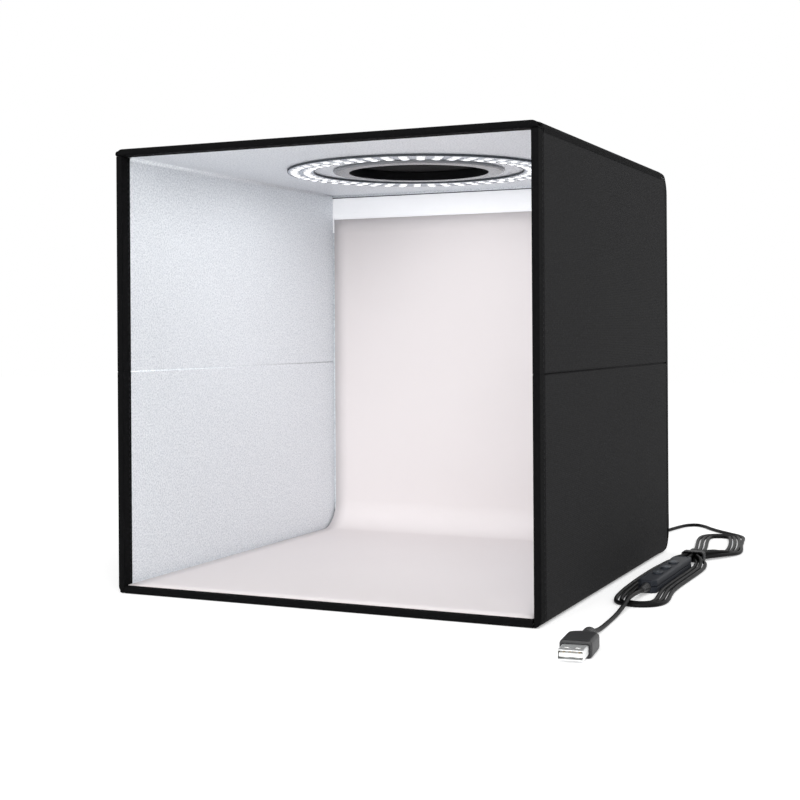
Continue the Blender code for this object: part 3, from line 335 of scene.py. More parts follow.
# The base: a board in black woven polyester, silver inside. Its rear edge is wrapped by the fabric
# strip that the back panel hinges on, and the front edge is bound with black tape.

side_low, side_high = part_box("right_lower_cover")
base_low, base_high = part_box("base_cover")
back_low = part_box("back_cover")[0]
strip_low, strip_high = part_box("rear_hinge_strip")
half = side_high.x
inner_half = side_low.x
panel = half - inner_half
round_y, back_y = strip_low.y, strip_high.y
rear_round = strip_high.z
cover_front_y = base_low.y
frame_rear_y = side_high.y
ceiling_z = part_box("ceiling_lining")[0].z
roof_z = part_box("top_cover")[1].z
LINING = 0.6 * MM
SKIN = 0.7 * MM
RIM = 0.8 * MM
EDGE = 0.8 * MM
OUTER_CORNER = 3.7 * MM
SHARP_ANGLE = 40


def arc(centre, radius, start, end, steps=12):
    """Points along an arc between two angles in degrees."""
    turns = [math.radians(start + (end - start) * i / steps) for i in range(steps + 1)]
    return [(centre[0] + radius * math.cos(t), centre[1] + radius * math.sin(t)) for t in turns]


PLACE_ON = {"X": lambda a, b, c: (c, a, b), "Y": lambda a, b, c: (a, c, b), "Z": lambda a, b, c: (a, b, c)}


def slide(bm, grown, by):
    """Moves the points that an extrusion has made."""
    verts = [part for part in grown["geom"] if isinstance(part, bmesh.types.BMVert)]
    bmesh.ops.translate(bm, vec=by, verts=verts)


def extruded(outline, axis, low, high):
    """A flat outline, given on the two other axes, carried along an axis."""
    bm = bmesh.new()
    face = bm.faces.new([bm.verts.new(PLACE_ON[axis](a, b, low)) for a, b in outline])
    slide(bm, bmesh.ops.extrude_face_region(bm, geom=[face]), PLACE_ON[axis](0, 0, high - low))
    bmesh.ops.recalc_face_normals(bm, faces=bm.faces)
    return bm


def block(bm, place, size):
    """Adds a box of a size, at a place that can be turned."""
    bmesh.ops.create_cube(bm, size=1.0, matrix=place @ Matrix.Diagonal((*size, 1)))


def slab(low, high):
    """A box between two corners."""
    bm = bmesh.new()
    block(bm, Matrix.Translation((Vector(high) + Vector(low)) / 2), Vector(high) - Vector(low))
    return bm


def soften(bm, test, width, segments=3):
    """Rounds the sharp edges whose two ends pass a test."""
    edges = [e for e in bm.edges if e.calc_face_angle(0) > 0.5 and all(test(v.co) for v in e.verts)]
    bmesh.ops.bevel(bm, geom=edges, offset=width, affect="EDGES", segments=segments, profile=0.5,
                    material=-1, clamp_overlap=True)


def hollow(bm, facing, depth):
    """Sinks the largest face of one side to a pocket, and leaves a rim."""
    way = Vector(facing)
    face = max((f for f in bm.faces if f.normal.dot(way) > 0.99), key=lambda f: f.calc_area())
    bmesh.ops.inset_region(bm, faces=[face], thickness=RIM)
    slide(bm, bmesh.ops.extrude_face_region(bm, geom=[face]), -way * depth)
    if face.is_valid:
        bmesh.ops.delete(bm, geom=[face], context="FACES_ONLY")


def cut_across(bm, axis, places):
    """Cuts a mesh by planes square to an axis, so that it can bend there."""
    normal = {"X": (1, 0, 0), "Y": (0, 1, 0), "Z": (0, 0, 1)}[axis]
    for value in places:
        bmesh.ops.bisect_plane(bm, geom=bm.verts[:] + bm.edges[:] + bm.faces[:], dist=SLACK / 10,
                               plane_co=Vector(normal) * value, plane_no=normal)


def round_corner(bm, x_end, z_end, radius, steps=7):
    """Turns a square corner of the front view into a round one, and keeps the thickness behind it."""
    x_way, z_way = math.copysign(1, x_end), 1 if z_end > roof_z / 2 else -1
    centre = Vector((x_end - x_way * radius, 0, z_end - z_way * radius))
    shares = [math.sin(math.pi / 2 * i / steps) for i in range(steps)]
    cut_across(bm, "X", [centre.x + x_way * radius * share for share in shares])
    cut_across(bm, "Z", [centre.z + z_way * radius * share for share in shares])
    for vert in bm.verts:
        across, up = (vert.co.x - centre.x) * x_way, (vert.co.z - centre.z) * z_way
        if across > 0 and up > 0:
            share = max(across, up) / math.hypot(across, up)
            vert.co.x = centre.x + x_way * across * share
            vert.co.z = centre.z + z_way * up * share


def close_up(bm):
    """Welds a mesh and turns all its faces outwards."""
    bmesh.ops.remove_doubles(bm, verts=bm.verts, dist=SLACK / 10)
    bmesh.ops.recalc_face_normals(bm, faces=bm.faces)
    if bm.calc_volume(signed=True) < 0:
        bmesh.ops.reverse_faces(bm, faces=bm.faces)


def put(bm, name, materials, body, slot, *stood_for):
    """Makes a bmesh a finished piece; a solid one rides on a body and keeps its flat faces flat."""
    close_up(bm)
    mesh = bpy.data.meshes.new(name)
    for material in materials if isinstance(materials, tuple) else (materials,):
        mesh.materials.append(material)
    bm.to_mesh(mesh)
    bm.free()
    mesh.shade_smooth()
    mesh.set_sharp_from_angle(angle=math.radians(SHARP_ANGLE))
    made = show(name, mesh)
    if body:
        flat = made.modifiers.new("flat faces", "WEIGHTED_NORMAL")
        flat.keep_sharp, flat.weight = True, 50
        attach(made, body)
    if stood_for:
        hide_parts(*stood_for)
    return made


def woven(tree, place, pitch):
    """The height of a plain weave on every face: threads across each axis, pitch apart."""
    height = 0.0
    for way in "XYZ":
        threads = node(tree, "ShaderNodeTexWave", {"wave_type": "BANDS", "bands_direction": way},
                       Vector=place, Scale=math.pi / 10 / pitch, Distortion=0.6, Detail=1.0)
        height = node(tree, "ShaderNodeMath", {"operation": "ADD"}, _0=height, _1=threads.outputs["Fac"])
    return height


# Black woven polyester: matt, of twisted threads 0.5 mm apart, drawn at 1 mm so that they show.
# Single threads catch the light: that fine grey speckle is a painted highlight in the colour, laid over a
# broad random tone.
fabric, tree, shader, place = new_material("black woven polyester")
fleck = node(tree, "ShaderNodeTexNoise", Vector=place, Scale=1 / (1.3 * MM), Detail=3.0, Roughness=0.7)
cloud = node(tree, "ShaderNodeTexNoise", Vector=place, Scale=1 / (60 * MM), Detail=2.0)
# painted highlight: the fine flecks lighten the black where single threads would catch the light
speck = node(tree, "ShaderNodeValToRGB", stops=((0.42, "070708"), (0.64, "202022")), Fac=fleck)
painted_glints_and_tone = node(tree, "ShaderNodeMix", {"data_type": "RGBA"}, Factor=cloud, _6=speck, _7=hex_colour("171718"))
relief = node(tree, "ShaderNodeMath", {"operation": "MULTIPLY_ADD"}, _0=fleck, _1=1.6,
              _2=woven(tree, place, 1.0 * MM))
bump = node(tree, "ShaderNodeBump", Height=relief, Strength=0.4, Distance=0.12 * MM)
feed(tree, shader, Base_Color=painted_glints_and_tone.outputs[2], Roughness=0.88, Specular_IOR_Level=0.09,
     Sheen_Weight=0.015, Sheen_Roughness=0.6, Normal=bump)

# Silver lining: woven polyester with a metal-flake coating, crinkled in cells of about 3 mm.
# It is a bright grey-white; its fine sparkles are painted into the colour as lighter spots, and the crinkles'
# bump and varying gloss add rendered ones.
silver, tree, shader, place = new_material("silver coated lining")
glint = node(tree, "ShaderNodeTexNoise", Vector=place, Scale=1 / (1.0 * MM), Detail=2.0, Roughness=0.8)
crinkle = node(tree, "ShaderNodeTexVoronoi", {"feature": "F1"}, Vector=place, Scale=1 / (2.6 * MM))
soft_fold = node(tree, "ShaderNodeTexNoise", Vector=place, Scale=1 / (22 * MM), Detail=2.0)
# painted sparkle: the fine glint noise lightens the colour in spots that stand for light caught by the
# crinkles
shade = node(tree, "ShaderNodeValToRGB", stops=((0.33, "c8cdd3"), (0.62, "f1f4f7")), Fac=glint)
gloss = node(tree, "ShaderNodeMapRange", Value=glint, To_Min=0.5, To_Max=0.3)
height = node(tree, "ShaderNodeMath", {"operation": "MULTIPLY_ADD"}, _0=crinkle, _1=2.2,
              _2=woven(tree, place, 0.8 * MM))
deeper = node(tree, "ShaderNodeMath", {"operation": "MULTIPLY_ADD"}, _0=soft_fold, _1=6.0, _2=height)
bump = node(tree, "ShaderNodeBump", Height=deeper, Strength=0.5, Distance=0.12 * MM)
feed(tree, shader, Base_Color=shade, Metallic=0.25, Roughness=gloss, Normal=bump)

# Binding tape: black polyester grosgrain, ribbed every 0.5 mm across its length, drawn at 0.9 mm.
# It is matt and a little darker than the cloth, so it draws the tent's edges.
tape, tree, shader, place = new_material("black grosgrain tape")
fuzz = node(tree, "ShaderNodeTexNoise", Vector=place, Scale=1 / (2.0 * MM), Detail=3.0)
tint = node(tree, "ShaderNodeValToRGB", stops=((0.35, "070708"), (0.7, "0b0b0c")), Fac=fuzz)
bump = node(tree, "ShaderNodeBump", Height=woven(tree, place, 0.9 * MM), Strength=0.4, Distance=0.1 * MM)
feed(tree, shader, Base_Color=tint, Roughness=0.8, Specular_IOR_Level=0.06, Normal=bump)

# Grey board: recycled paper pulp, matt, with pale and dark fibres; it shows only where a panel is open
board, tree, shader, place = new_material("grey paper board")
pulp = node(tree, "ShaderNodeTexNoise", Vector=place, Scale=1 / (1.5 * MM), Detail=4.0)
fibre = node(tree, "ShaderNodeValToRGB", stops=((0.3, "6f6f6c"), (0.7, "a3a39f")), Fac=pulp)
feed(tree, shader, Base_Color=fibre, Roughness=0.85)


def dress(material, *names):
    """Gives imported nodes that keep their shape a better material."""
    for name in names:
        mesh = frame["nodes"][name].data
        mesh.materials.clear()
        mesh.materials.append(material)


dress(board, "base_board", "top_board", "back_board", *[f"{side}_{part}_board" for side in ("left", "right")
                                                        for part in ("lower", "upper")])

STITCH = 2.2 * MM
STITCH_PITCH = 3.0 * MM
THREAD_WIDTH = 0.45 * MM
TAPE_ROUND = 1.5 * MM
SEAM_IN = 1.8 * MM

# Sewing thread: black twisted polyester, with the faint shine and slant of its twist
thread, tree, shader, place = new_material("black sewing thread")
twist = node(tree, "ShaderNodeTexWave", {"bands_direction": "DIAGONAL"}, Vector=place, Scale=1 / (2 * MM))
bump = node(tree, "ShaderNodeBump", Height=twist.outputs["Fac"], Strength=0.3, Distance=0.05 * MM)
feed(tree, shader, Base_Color=hex_colour("19191b"), Roughness=0.6, Specular_IOR_Level=0.2, Normal=bump)


def stitches(name, body, slot, *rows):
    """Rows of lock stitches from a start to an end, each a small bead that lies along its row."""
    bm = bmesh.new()
    for row in rows:
        start, end, out = [Vector(part) for part in row]
        way = (end - start).normalized()
        turn = Matrix((way * STITCH, way.cross(out) * THREAD_WIDTH, out * THREAD_WIDTH)).transposed().to_4x4()
        count = int((end - start).length / STITCH_PITCH)
        for i in range(count):
            place = Matrix.Translation(start + (end - start) / count * (i + 0.5))
            bmesh.ops.create_icosphere(bm, subdivisions=1, radius=0.5, matrix=place @ turn)
    put(bm, name, thread, body, slot)


def tape_outline(outer, inner, front, rear):
    """The section of the tape round an edge, as (thickness place, y) points, open at the rear."""
    way = math.copysign(1, inner - outer)
    turns = [math.pi / 2 * i / 6 for i in range(7)]
    bend = [(TAPE_ROUND * (1 - math.cos(t)), front + TAPE_ROUND * (1 - math.sin(t))) for t in turns]
    first = [(outer + way * across, y) for across, y in bend]
    second = [(inner - way * across, y) for across, y in reversed(bend)]
    web = front + SKIN
    return [(outer, rear), *first, *second, (inner, rear), (inner - way * LINING, rear),
            (inner - way * LINING, web), (outer + way * SKIN, web), (outer + way * SKIN, rear)]


under_reach = rear_round - SKIN - 2 * SEAT
shell_top = base_high.z - LINING
base_profile = [(cover_front_y, 0), (round_y - SEAT, 0)] + arc(
    (round_y, rear_round), under_reach, -90,
    -math.degrees(math.asin((rear_round - shell_top) / under_reach))) + [(cover_front_y, shell_top)]
bm = extruded(base_profile, "X", base_low.x, base_high.x)
hollow(bm, (0, 0, 1), shell_top - SKIN - SEAT)
put(bm, "base_cover_shell", fabric, "base", "black_fabric", "base_cover")
bm = slab((base_low.x, cover_front_y, shell_top), base_high)
soften(bm, lambda v: v.z > base_high.z - LINING / 2, LINING / 2, 2)
put(bm, "base_silver_lining", silver, "base", "silver_lining", "base_lining")
tape_low, tape_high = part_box("base_binding")
outline = [(b, a) for a, b in tape_outline(tape_low.z, tape_high.z, tape_low.y, tape_high.y)]
put(extruded(outline, "X", tape_low.x, tape_high.x), "base_front_tape", tape, "base", "black_tape",
    "base_binding")
seam_y = tape_high.y - SEAM_IN
stitches("base_tape_stitches", "base", "black_tape",
         ((tape_low.x, seam_y, tape_high.z), (tape_high.x, seam_y, tape_high.z), (0, 0, 1)))


# The four side halves: creased panels of the same make, which fold inwards and flat on the base.
# Each has its cover, its silver lining, and front tape; the tapes meet the top in a round corner.

for side, sign in (("left", -1), ("right", 1)):
    for part in ("lower", "upper"):
        name = f"{side}_{part}"
        low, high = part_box(f"{name}_cover")
        outer, inner = sign * half, sign * (inner_half + LINING)
        rear = [(frame_rear_y, low.z)]
        if part == "lower":
            end = -math.degrees(math.acos((frame_rear_y - round_y) / under_reach))
            rear = [(round_y - SEAT, low.z)] + arc((round_y, rear_round), under_reach, -90, end)
        profile = [(cover_front_y, low.z), *rear, (frame_rear_y, high.z), (cover_front_y, high.z)]
        bm = extruded(profile, "X", min(outer, inner), max(outer, inner))
        soften(bm, lambda v: abs(v.x) > half - SLACK and v.y > cover_front_y - SLACK, EDGE, 4)
        hollow(bm, (-sign, 0, 0), half - inner_half - LINING - SKIN)
        if part == "lower":
            round_corner(bm, outer, low.z, OUTER_CORNER)
        put(bm, f"{name}_cover_shell", fabric, name, "black_fabric", f"{name}_cover")

        bm = extruded(profile, "X", min(sign * inner_half, inner), max(sign * inner_half, inner))
        soften(bm, lambda v: abs(v.x) < inner_half + SLACK, LINING / 2, 2)
        put(bm, f"{name}_silver_lining", silver, name, "silver_lining", f"{name}_lining")

        tape_low, tape_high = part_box(f"{name}_binding")
        outline = tape_outline(outer, sign * inner_half, tape_low.y, tape_high.y)
        bm = extruded(outline, "Z", tape_low.z, tape_high.z)
        if part == "lower":
            round_corner(bm, outer, tape_low.z, OUTER_CORNER)
        put(bm, f"{name}_front_tape", tape, name, "black_tape", f"{name}_binding")
        seam_y = tape_high.y - SEAM_IN
        stitches(f"{name}_tape_stitches", name, "black_tape", *[
            ((x, seam_y, tape_low.z + STITCH), (x, seam_y, tape_high.z - STITCH), (out, 0, 0))
            for x, out in ((outer, sign), (sign * inner_half, -sign))])


# The fabric that bridges the folds: at mid height a strip of the cover's cloth lies in the crease outside,
# a strip of lining inside, and tape at the front. Silver strips close the corners at floor and ceiling.

CREASE_STRIP = 1.0 * MM
CREASE_BEND = 0.3 * MM
OUTER_SUNK = 0.9 * MM
INNER_SUNK = 0.35 * MM
TAPE_SUNK = 0.15 * MM
CORNER_RIDE = 0.15 * MM
CORNER_FLAP = 2.1 * MM
HAIR = 0.05 * MM
CLOTH = 0.2 * MM
crease_z = (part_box("left_lower_cover")[1].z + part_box("left_upper_cover")[0].z) / 2


def ribbon(line, axis, low, high):
    """A line, given on the two other axes, drawn out along an axis to an open strip."""
    bm = bmesh.new()
    verts = [bm.verts.new(PLACE_ON[axis](a, b, low)) for a, b in line]
    edges = [bm.edges.new(pair) for pair in zip(verts, verts[1:])]
    slide(bm, bmesh.ops.extrude_edge_only(bm, edges=edges), PLACE_ON[axis](0, 0, high - low))
    return bm


def cloth_strip(name, bm, material, slot, *stood_for):
    """A thin strip of cloth on an open surface."""
    made = put(bm, name, material, None, slot, *stood_for)
    wall = made.modifiers.new("cloth", "SOLIDIFY")
    wall.thickness, wall.offset = CLOTH, 0
    return made


def bridge_strip(name, bm, material, slot, bodies, start, end, *stood_for):
    """A strip of cloth that crosses a fold, baked where it lies; it is not blended between its two bodies."""
    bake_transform(cloth_strip(name, bm, material, slot, *stood_for))


for side, sign in (("left", -1), ("right", 1)):
    bodies = (f"{side}_lower", f"{side}_upper")
    bend = (crease_z - CREASE_BEND, crease_z + CREASE_BEND)
    for face, x, material, slot in (("outer", half - OUTER_SUNK, fabric, "black_fabric"),
                                    ("inner", inner_half + INNER_SUNK, silver, "silver_lining")):
        profile = [(sign * x, z) for z in (crease_z - CREASE_STRIP, bend[0], crease_z, bend[1],
                                           crease_z + CREASE_STRIP)]
        bm = ribbon(profile, "Y", cover_front_y, frame_rear_y)
        bridge_strip(f"{side}_crease_{face}_cloth", bm, material, slot, bodies,
                     (sign * x, 0, bend[0]), (sign * x, 0, bend[1]))
    tape_low, tape_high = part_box(f"{side}_lower_binding")
    outline = tape_outline(sign * (half - TAPE_SUNK), sign * (inner_half + TAPE_SUNK), tape_low.y + TAPE_SUNK,
                           tape_high.y)
    bm = extruded(outline, "Z", crease_z - CREASE_STRIP, crease_z + CREASE_STRIP)
    cut_across(bm, "Z", (bend[0], crease_z, bend[1]))
    made = put(bm, f"{side}_crease_tape", tape, None, "black_tape")
    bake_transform(made)

    floor_z = base_high.z
    wall_x = sign * (inner_half + CORNER_RIDE)
    corner = [(sign * (inner_half - CORNER_FLAP), floor_z + HAIR), (sign * (inner_half - 0.8 * MM), floor_z),
              (wall_x, floor_z + 0.5 * MM), (wall_x, floor_z + 1.7 * MM)]
    bridge_strip(f"{side}_floor_corner", ribbon(corner, "Y", cover_front_y, round_y - SEAT), silver,
                 "silver_lining", ("base", f"{side}_lower"), (corner[1][0], 0, corner[1][1]),
                 (corner[3][0], 0, corner[3][1]))
roof_in = ceiling_z + HAIR
corner = [(-(inner_half + CORNER_RIDE), roof_in - 2.6 * MM), (-inner_half, roof_in - 1.1 * MM),
          (-(inner_half - 0.7 * MM), roof_in - CORNER_RIDE), (-(inner_half - CORNER_FLAP), roof_in)]
bridge_strip("left_ceiling_corner", ribbon(corner, "Y", cover_front_y, round_y - SEAT), silver,
             "silver_lining", ("left_upper", "top"), (corner[0][0], 0, corner[0][1]),
             (corner[2][0], 0, corner[2][1]))
lip_low, lip_high = ceiling_z - 1.2 * MM, ceiling_z + 0.1 * MM
lip = [(inner_half - CORNER_FLAP, roof_in), (inner_half - 0.7 * MM, roof_in - CORNER_RIDE),
       (inner_half - 0.1 * MM, roof_in - 0.7 * MM), (inner_half - HAIR, lip_low),
       (inner_half + 0.1 * MM, lip_low), (inner_half + 0.1 * MM, lip_high),
       (inner_half - CORNER_FLAP, lip_high)]
put(extruded(lip, "Y", cover_front_y, round_y - SEAT), "right_ceiling_lip", silver, "top", "silver_lining")
bm = slab((half - HAIR, cover_front_y, ceiling_z - 1.3 * MM),
          (half + CLOTH, round_y - SEAT, ceiling_z + 0.6 * MM))
put(bm, "right_top_tape", tape, "top", "black_tape")


# The top: the same board and cloth, with the camera hole cut through it and a hook patch and hinge hem
# for the flap sewn on. Tape binds its side edges and its front, and turns down in round corners.

TOP_CORNER = 3.0 * MM
collar_low, collar_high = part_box("hole_collar")
hole_y = (collar_low.y + collar_high.y) / 2
FLANGE = collar_high.x
NECK = 44.2 * MM
HOLE = 43 * MM


def cut_out(bm, tool):
    """A closed mesh with the shape of another closed mesh cut out of it."""
    pair = []
    for name, source in (("plate", bm), ("tool", tool)):
        close_up(source)
        mesh = bpy.data.meshes.new(name)
        source.to_mesh(mesh)
        source.free()
        pair.append(show(name, mesh))
    cut = pair[0].modifiers.new("cut", "BOOLEAN")
    cut.solver, cut.object = "EXACT", pair[1]
    bpy.context.view_layer.update()
    result = bmesh.new()
    result.from_mesh(bpy.data.meshes.new_from_object(
        pair[0].evaluated_get(bpy.context.evaluated_depsgraph_get())))
    for made in pair:
        bpy.data.objects.remove(made)
    return result


def hole_tool(radius):
    """A round cutter through the whole top about the camera hole's middle."""
    bm = bmesh.new()
    bmesh.ops.create_cone(bm, cap_ends=True, segments=128, radius1=radius, radius2=radius, depth=4 * panel,
                          matrix=Matrix.Translation((0, hole_y, roof_z - panel / 2)))
    return bm


def two_tone(bm, test):
    """Gives the faces that pass a test the second material."""
    for face in bm.faces:
        face.material_index = int(test(face))


COVER_LIFT = 0.12 * MM
LINING_PAST = 9 * MM
roof_bend = (round_y, roof_z - rear_round)
lining_reach = half - RIM - SEAT / 3
top_profile = [(cover_front_y, ceiling_z + COVER_LIFT), (cover_front_y, roof_z)] + arc(
    roof_bend, rear_round, 90, math.degrees(math.asin((rear_round - panel + COVER_LIFT) / rear_round)))
bm = extruded(top_profile, "X", -half, half)
hollow(bm, (0, 0, -1), panel - COVER_LIFT - SKIN)
bm = cut_out(bm, hole_tool(NECK + SEAT))
for sign in (-1, 1):
    round_corner(bm, sign * half, roof_z, TOP_CORNER)
close_up(bm)
two_tone(bm, lambda face: abs(face.normal.x) > 0.5)
put(bm, "top_cover_shell", (fabric, tape), "top", "black_fabric", "top_cover")
bm = slab((-lining_reach, cover_front_y, ceiling_z),
          (lining_reach, round_y + LINING_PAST, ceiling_z + LINING))
put(cut_out(bm, hole_tool(NECK + SEAT)), "ceiling_silver_lining", silver, "top", "silver_lining",
    "ceiling_lining")
for name, inset, turns, reach, material, slot in (
        ("rear_seam_cloth", 0.1, (50, 42.6), half, fabric, "black_fabric"),
        ("rear_seam_lining", 0.45, (53, 41.5), half - RIM, silver, "silver_lining")):
    bend_line = arc(roof_bend, rear_round - inset * MM, *turns, 6)
    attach(cloth_strip(name, ribbon(bend_line, "X", -reach, reach), material, slot), "top")
tape_low, tape_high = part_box("top_binding")
outline = [(b, a) for a, b in tape_outline(tape_high.z, tape_low.z, tape_low.y, tape_high.y)]
bm = extruded(outline, "X", tape_low.x, tape_high.x)
for sign in (-1, 1):
    round_corner(bm, sign * half, roof_z, OUTER_CORNER)
put(bm, "top_front_tape", tape, "top", "black_tape", "top_binding")
seam_y = tape_high.y - SEAM_IN
stitches("top_tape_stitches", "top", "black_tape", *[
    ((-reach, seam_y, z), (reach, seam_y, z), (0, 0, out))
    for z, reach, out in ((roof_z, half - OUTER_CORNER, 1), (ceiling_z, inner_half, -1))])


# The collar: a moulded ring that lines the camera hole and clamps the ceiling lining with its flange.
# The flange is grey and satin, so it is bright at one side and darker at the other; the neck is matt black.

def spun(points, centre, axis, steps, closed=True):
    """A line of points turned once round an axis."""
    bm = bmesh.new()
    verts = [bm.verts.new(point) for point in points]
    edges = [bm.edges.new(pair) for pair in zip(verts, verts[1:] + (verts[:1] if closed else []))]
    bmesh.ops.spin(bm, geom=verts + edges, cent=centre, axis=axis, angle=2 * math.pi, steps=steps,
                   use_merge=True)
    return bm


def turned(profile, steps=96):
    """A closed (radius, z) line turned round the camera hole's middle."""
    return spun([(r, hole_y, z) for r, z in profile], (0, hole_y, 0), (0, 0, 1), steps)


# The flange shines softly in a wide band; the neck behind it drinks the light
satin = grained("grey satin moulding", "77797d", 0.8 * MM, (0.18, 0.28), (0.12, 0.06 * MM))
pitch_black = grained("black matt moulding", "08080a", 0.8 * MM, (0.6, 0.8), Specular_IOR_Level=0.1)
LIP = 0.5 * MM
z0, z1, top_z = collar_low.z, collar_low.z + 1.5 * MM, collar_high.z
flange = [(HOLE, z0 + LIP), (HOLE + LIP * 0.3, z0 + LIP * 0.3), (HOLE + LIP, z0), (FLANGE - 2.2 * MM, z0),
          (FLANGE - 1.0 * MM, z0 + 0.12 * MM), (FLANGE - 0.3 * MM, z0 + 0.5 * MM), (FLANGE, z0 + 0.95 * MM),
          (FLANGE, z1), (NECK, z1), (NECK, top_z), (HOLE + 0.3 * MM, top_z), (HOLE, top_z - 0.3 * MM)]
bm = turned(flange, 128)
hole_middle = Vector((0, hole_y, 0))
two_tone(bm, lambda face: face.calc_center_median().z > z0 + LIP / 2 and (
    face.calc_center_median() - hole_middle).xy.length < NECK + SEAT / 3)
put(bm, "camera_collar", (satin, pitch_black), "top", "grey_plastic", "hole_collar")


# The light ring: a white lacquered circuit board with two rows of surface-mounted chips, held flat on the
# ceiling. Each chip is a white ceramic cup with a round lens of phosphor that glows when it is lit.

ring_low, ring_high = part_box("led_board")
RING_INNER, RING_OUTER = 65 * MM, 81 * MM
RING_BOARD = 1.0 * MM
CHIP = 5.0 * MM
CHIP_PROUD = ring_high.z - ring_low.z - RING_BOARD
CHIPS_A_ROW = 48
ROW_MARGIN = 4.0 * MM
CHIP_LENS = 1.9 * MM
LENS_RISE = 0.12 * MM
PAD, PAD_THICK, PAD_SUNK = 0.9 * MM, 0.16 * MM, 0.09 * MM
RIM_OUT, RIM_PROUD = 0.22 * MM, 0.1 * MM
RING_POWER = 0.16
board_z = ring_low.z + CHIP_PROUD

# White lacquer gives the board a soft gloss with faint clouds; it looks blue-grey beside the lit chips
lacquer, tree, shader, place = new_material("white lacquered circuit board")
cloud = node(tree, "ShaderNodeTexNoise", Vector=place, Scale=1 / (5 * MM), Detail=2.0)
coat = node(tree, "ShaderNodeValToRGB", stops=((0, "a4acb9"), (1, "b9c0cb")), Fac=cloud)
feed(tree, shader, Base_Color=coat, Roughness=0.3)
# Ceramic cups glow a little from the light inside them
ceramic = grained("white ceramic chip", "f4f4f2", 0.6 * MM, (0.3, 0.5), Emission_Color=hex_colour("f2f6ff"),
                  Emission_Strength=0.15)
# Phosphor under clear resin: the brightest spots of the tent, a cool white
phosphor, tree, shader, place = new_material("lit phosphor lens")
powder = node(tree, "ShaderNodeTexNoise", Vector=place, Scale=1 / (1 * MM), Detail=2.0)
lit = node(tree, "ShaderNodeValToRGB", stops=((0, "f3f6ff"), (1, "ffffff")), Fac=powder)
feed(tree, shader, Base_Color=lit, Emission_Color=hex_colour("f6f9ff"), Emission_Strength=2.0)
# Solder pads are small bright metal bars; the board's edges are thin dark rings, partly its own dark edge and
# partly painted shade of the gap round it
tin = grained("tinned solder", "c4c6c8", 0.7 * MM, (0.2, 0.45), Metallic=1.0)
dark_edge_and_gap_shade = grained("dark board edge and painted gap shade", "3c3f45", 0.8 * MM, (0.5, 0.75))

ring_section = [(RING_INNER, board_z), (RING_OUTER, board_z), (RING_OUTER, ring_high.z),
                (RING_INNER, ring_high.z)]
put(turned(ring_section), "ring_circuit_board", lacquer, "top", "white_board", "led_board")
# painted shade: the dark rims stand a little proud below the board and outline it, for the shade in the gap
# at its edges as well as its own dark edge
for name, radius, way in (("ring_inner_rim", RING_INNER, -1), ("ring_outer_rim", RING_OUTER, 1)):
    near, far, rim_z = radius - way * RIM_OUT / 2, radius + way * RIM_OUT, board_z - RIM_PROUD
    bm = turned([(near, rim_z), (far, rim_z), (far, ring_high.z), (near, ring_high.z)])
    put(bm, name, dark_edge_and_gap_shade, "top", "white_board")
chips_bm, lens_bm, pad_bm = bmesh.new(), bmesh.new(), bmesh.new()
for radius in (RING_INNER + ROW_MARGIN, RING_OUTER - ROW_MARGIN):
    for i in range(CHIPS_A_ROW):
        turn = Matrix.Rotation(2 * math.pi * (i + 0.25) / CHIPS_A_ROW, 4, "Z")
        seat = Matrix.Translation((0, hole_y, board_z)) @ turn @ Matrix.Translation((radius, 0, 0))
        block(chips_bm, seat @ Matrix.Translation((0, 0, -CHIP_PROUD / 2)), (CHIP, CHIP, CHIP_PROUD))
        lens_place = seat @ Matrix.Translation((0, 0, -CHIP_PROUD - LENS_RISE / 2))
        bmesh.ops.create_cone(lens_bm, cap_ends=True, segments=16, radius1=CHIP_LENS * 0.75,
                              radius2=CHIP_LENS, depth=LENS_RISE, matrix=lens_place)
        for way in (-1, 1):
            pad_place = seat @ Matrix.Translation((0, way * (CHIP / 2 + PAD / 4), -PAD_SUNK))
            block(pad_bm, pad_place, (CHIP * 0.7, PAD, PAD_THICK))
soften(chips_bm, lambda v: v.z < board_z - CHIP_PROUD / 2, 0.15 * MM, 2)
put(chips_bm, "light_chips", ceramic, "top", "white_board")
put(lens_bm, "light_chip_lenses", phosphor, "top", "white_board")
put(pad_bm, "light_chip_pads", tin, "top", "white_board")
ring_lamp = disk_lamp("ring_light", 2 * RING_OUTER, RING_POWER)
ring_lamp.location = (0, hole_y, ring_low.z - 1.5 * MM)
ring_lamp.parent = frame["bodies"]["top"]
dress(jacket, "ring_lead", "base_lead", "right_upper_lead", "right_lower_lead")


# The camera flap: a small board in the same cloth, hinged on a hem sewn along its left edge and held by
# a webbing tab that presses on a hook patch at the right.

FLAP_CORNER = 5 * MM
FLAP_SEAM = 3 * MM
CORNER_SEGMENTS = 6
flap_low, flap_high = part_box("flap_cover")
hem_low, hem_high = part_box("flap_hinge_hem")


def cushion_slab(low, high, corner, edge):
    """A flat slab with round corners in plan and soft edges above."""
    bm = slab(low, high)
    upright = [e for e in bm.edges if abs(e.verts[0].co.z - e.verts[1].co.z) > SLACK]
    bmesh.ops.bevel(bm, geom=upright, offset=corner, affect="EDGES", segments=CORNER_SEGMENTS, profile=0.5,
                    material=-1)
    soften(bm, lambda v: v.z > high[2] - SLACK, edge, 3)
    return bm


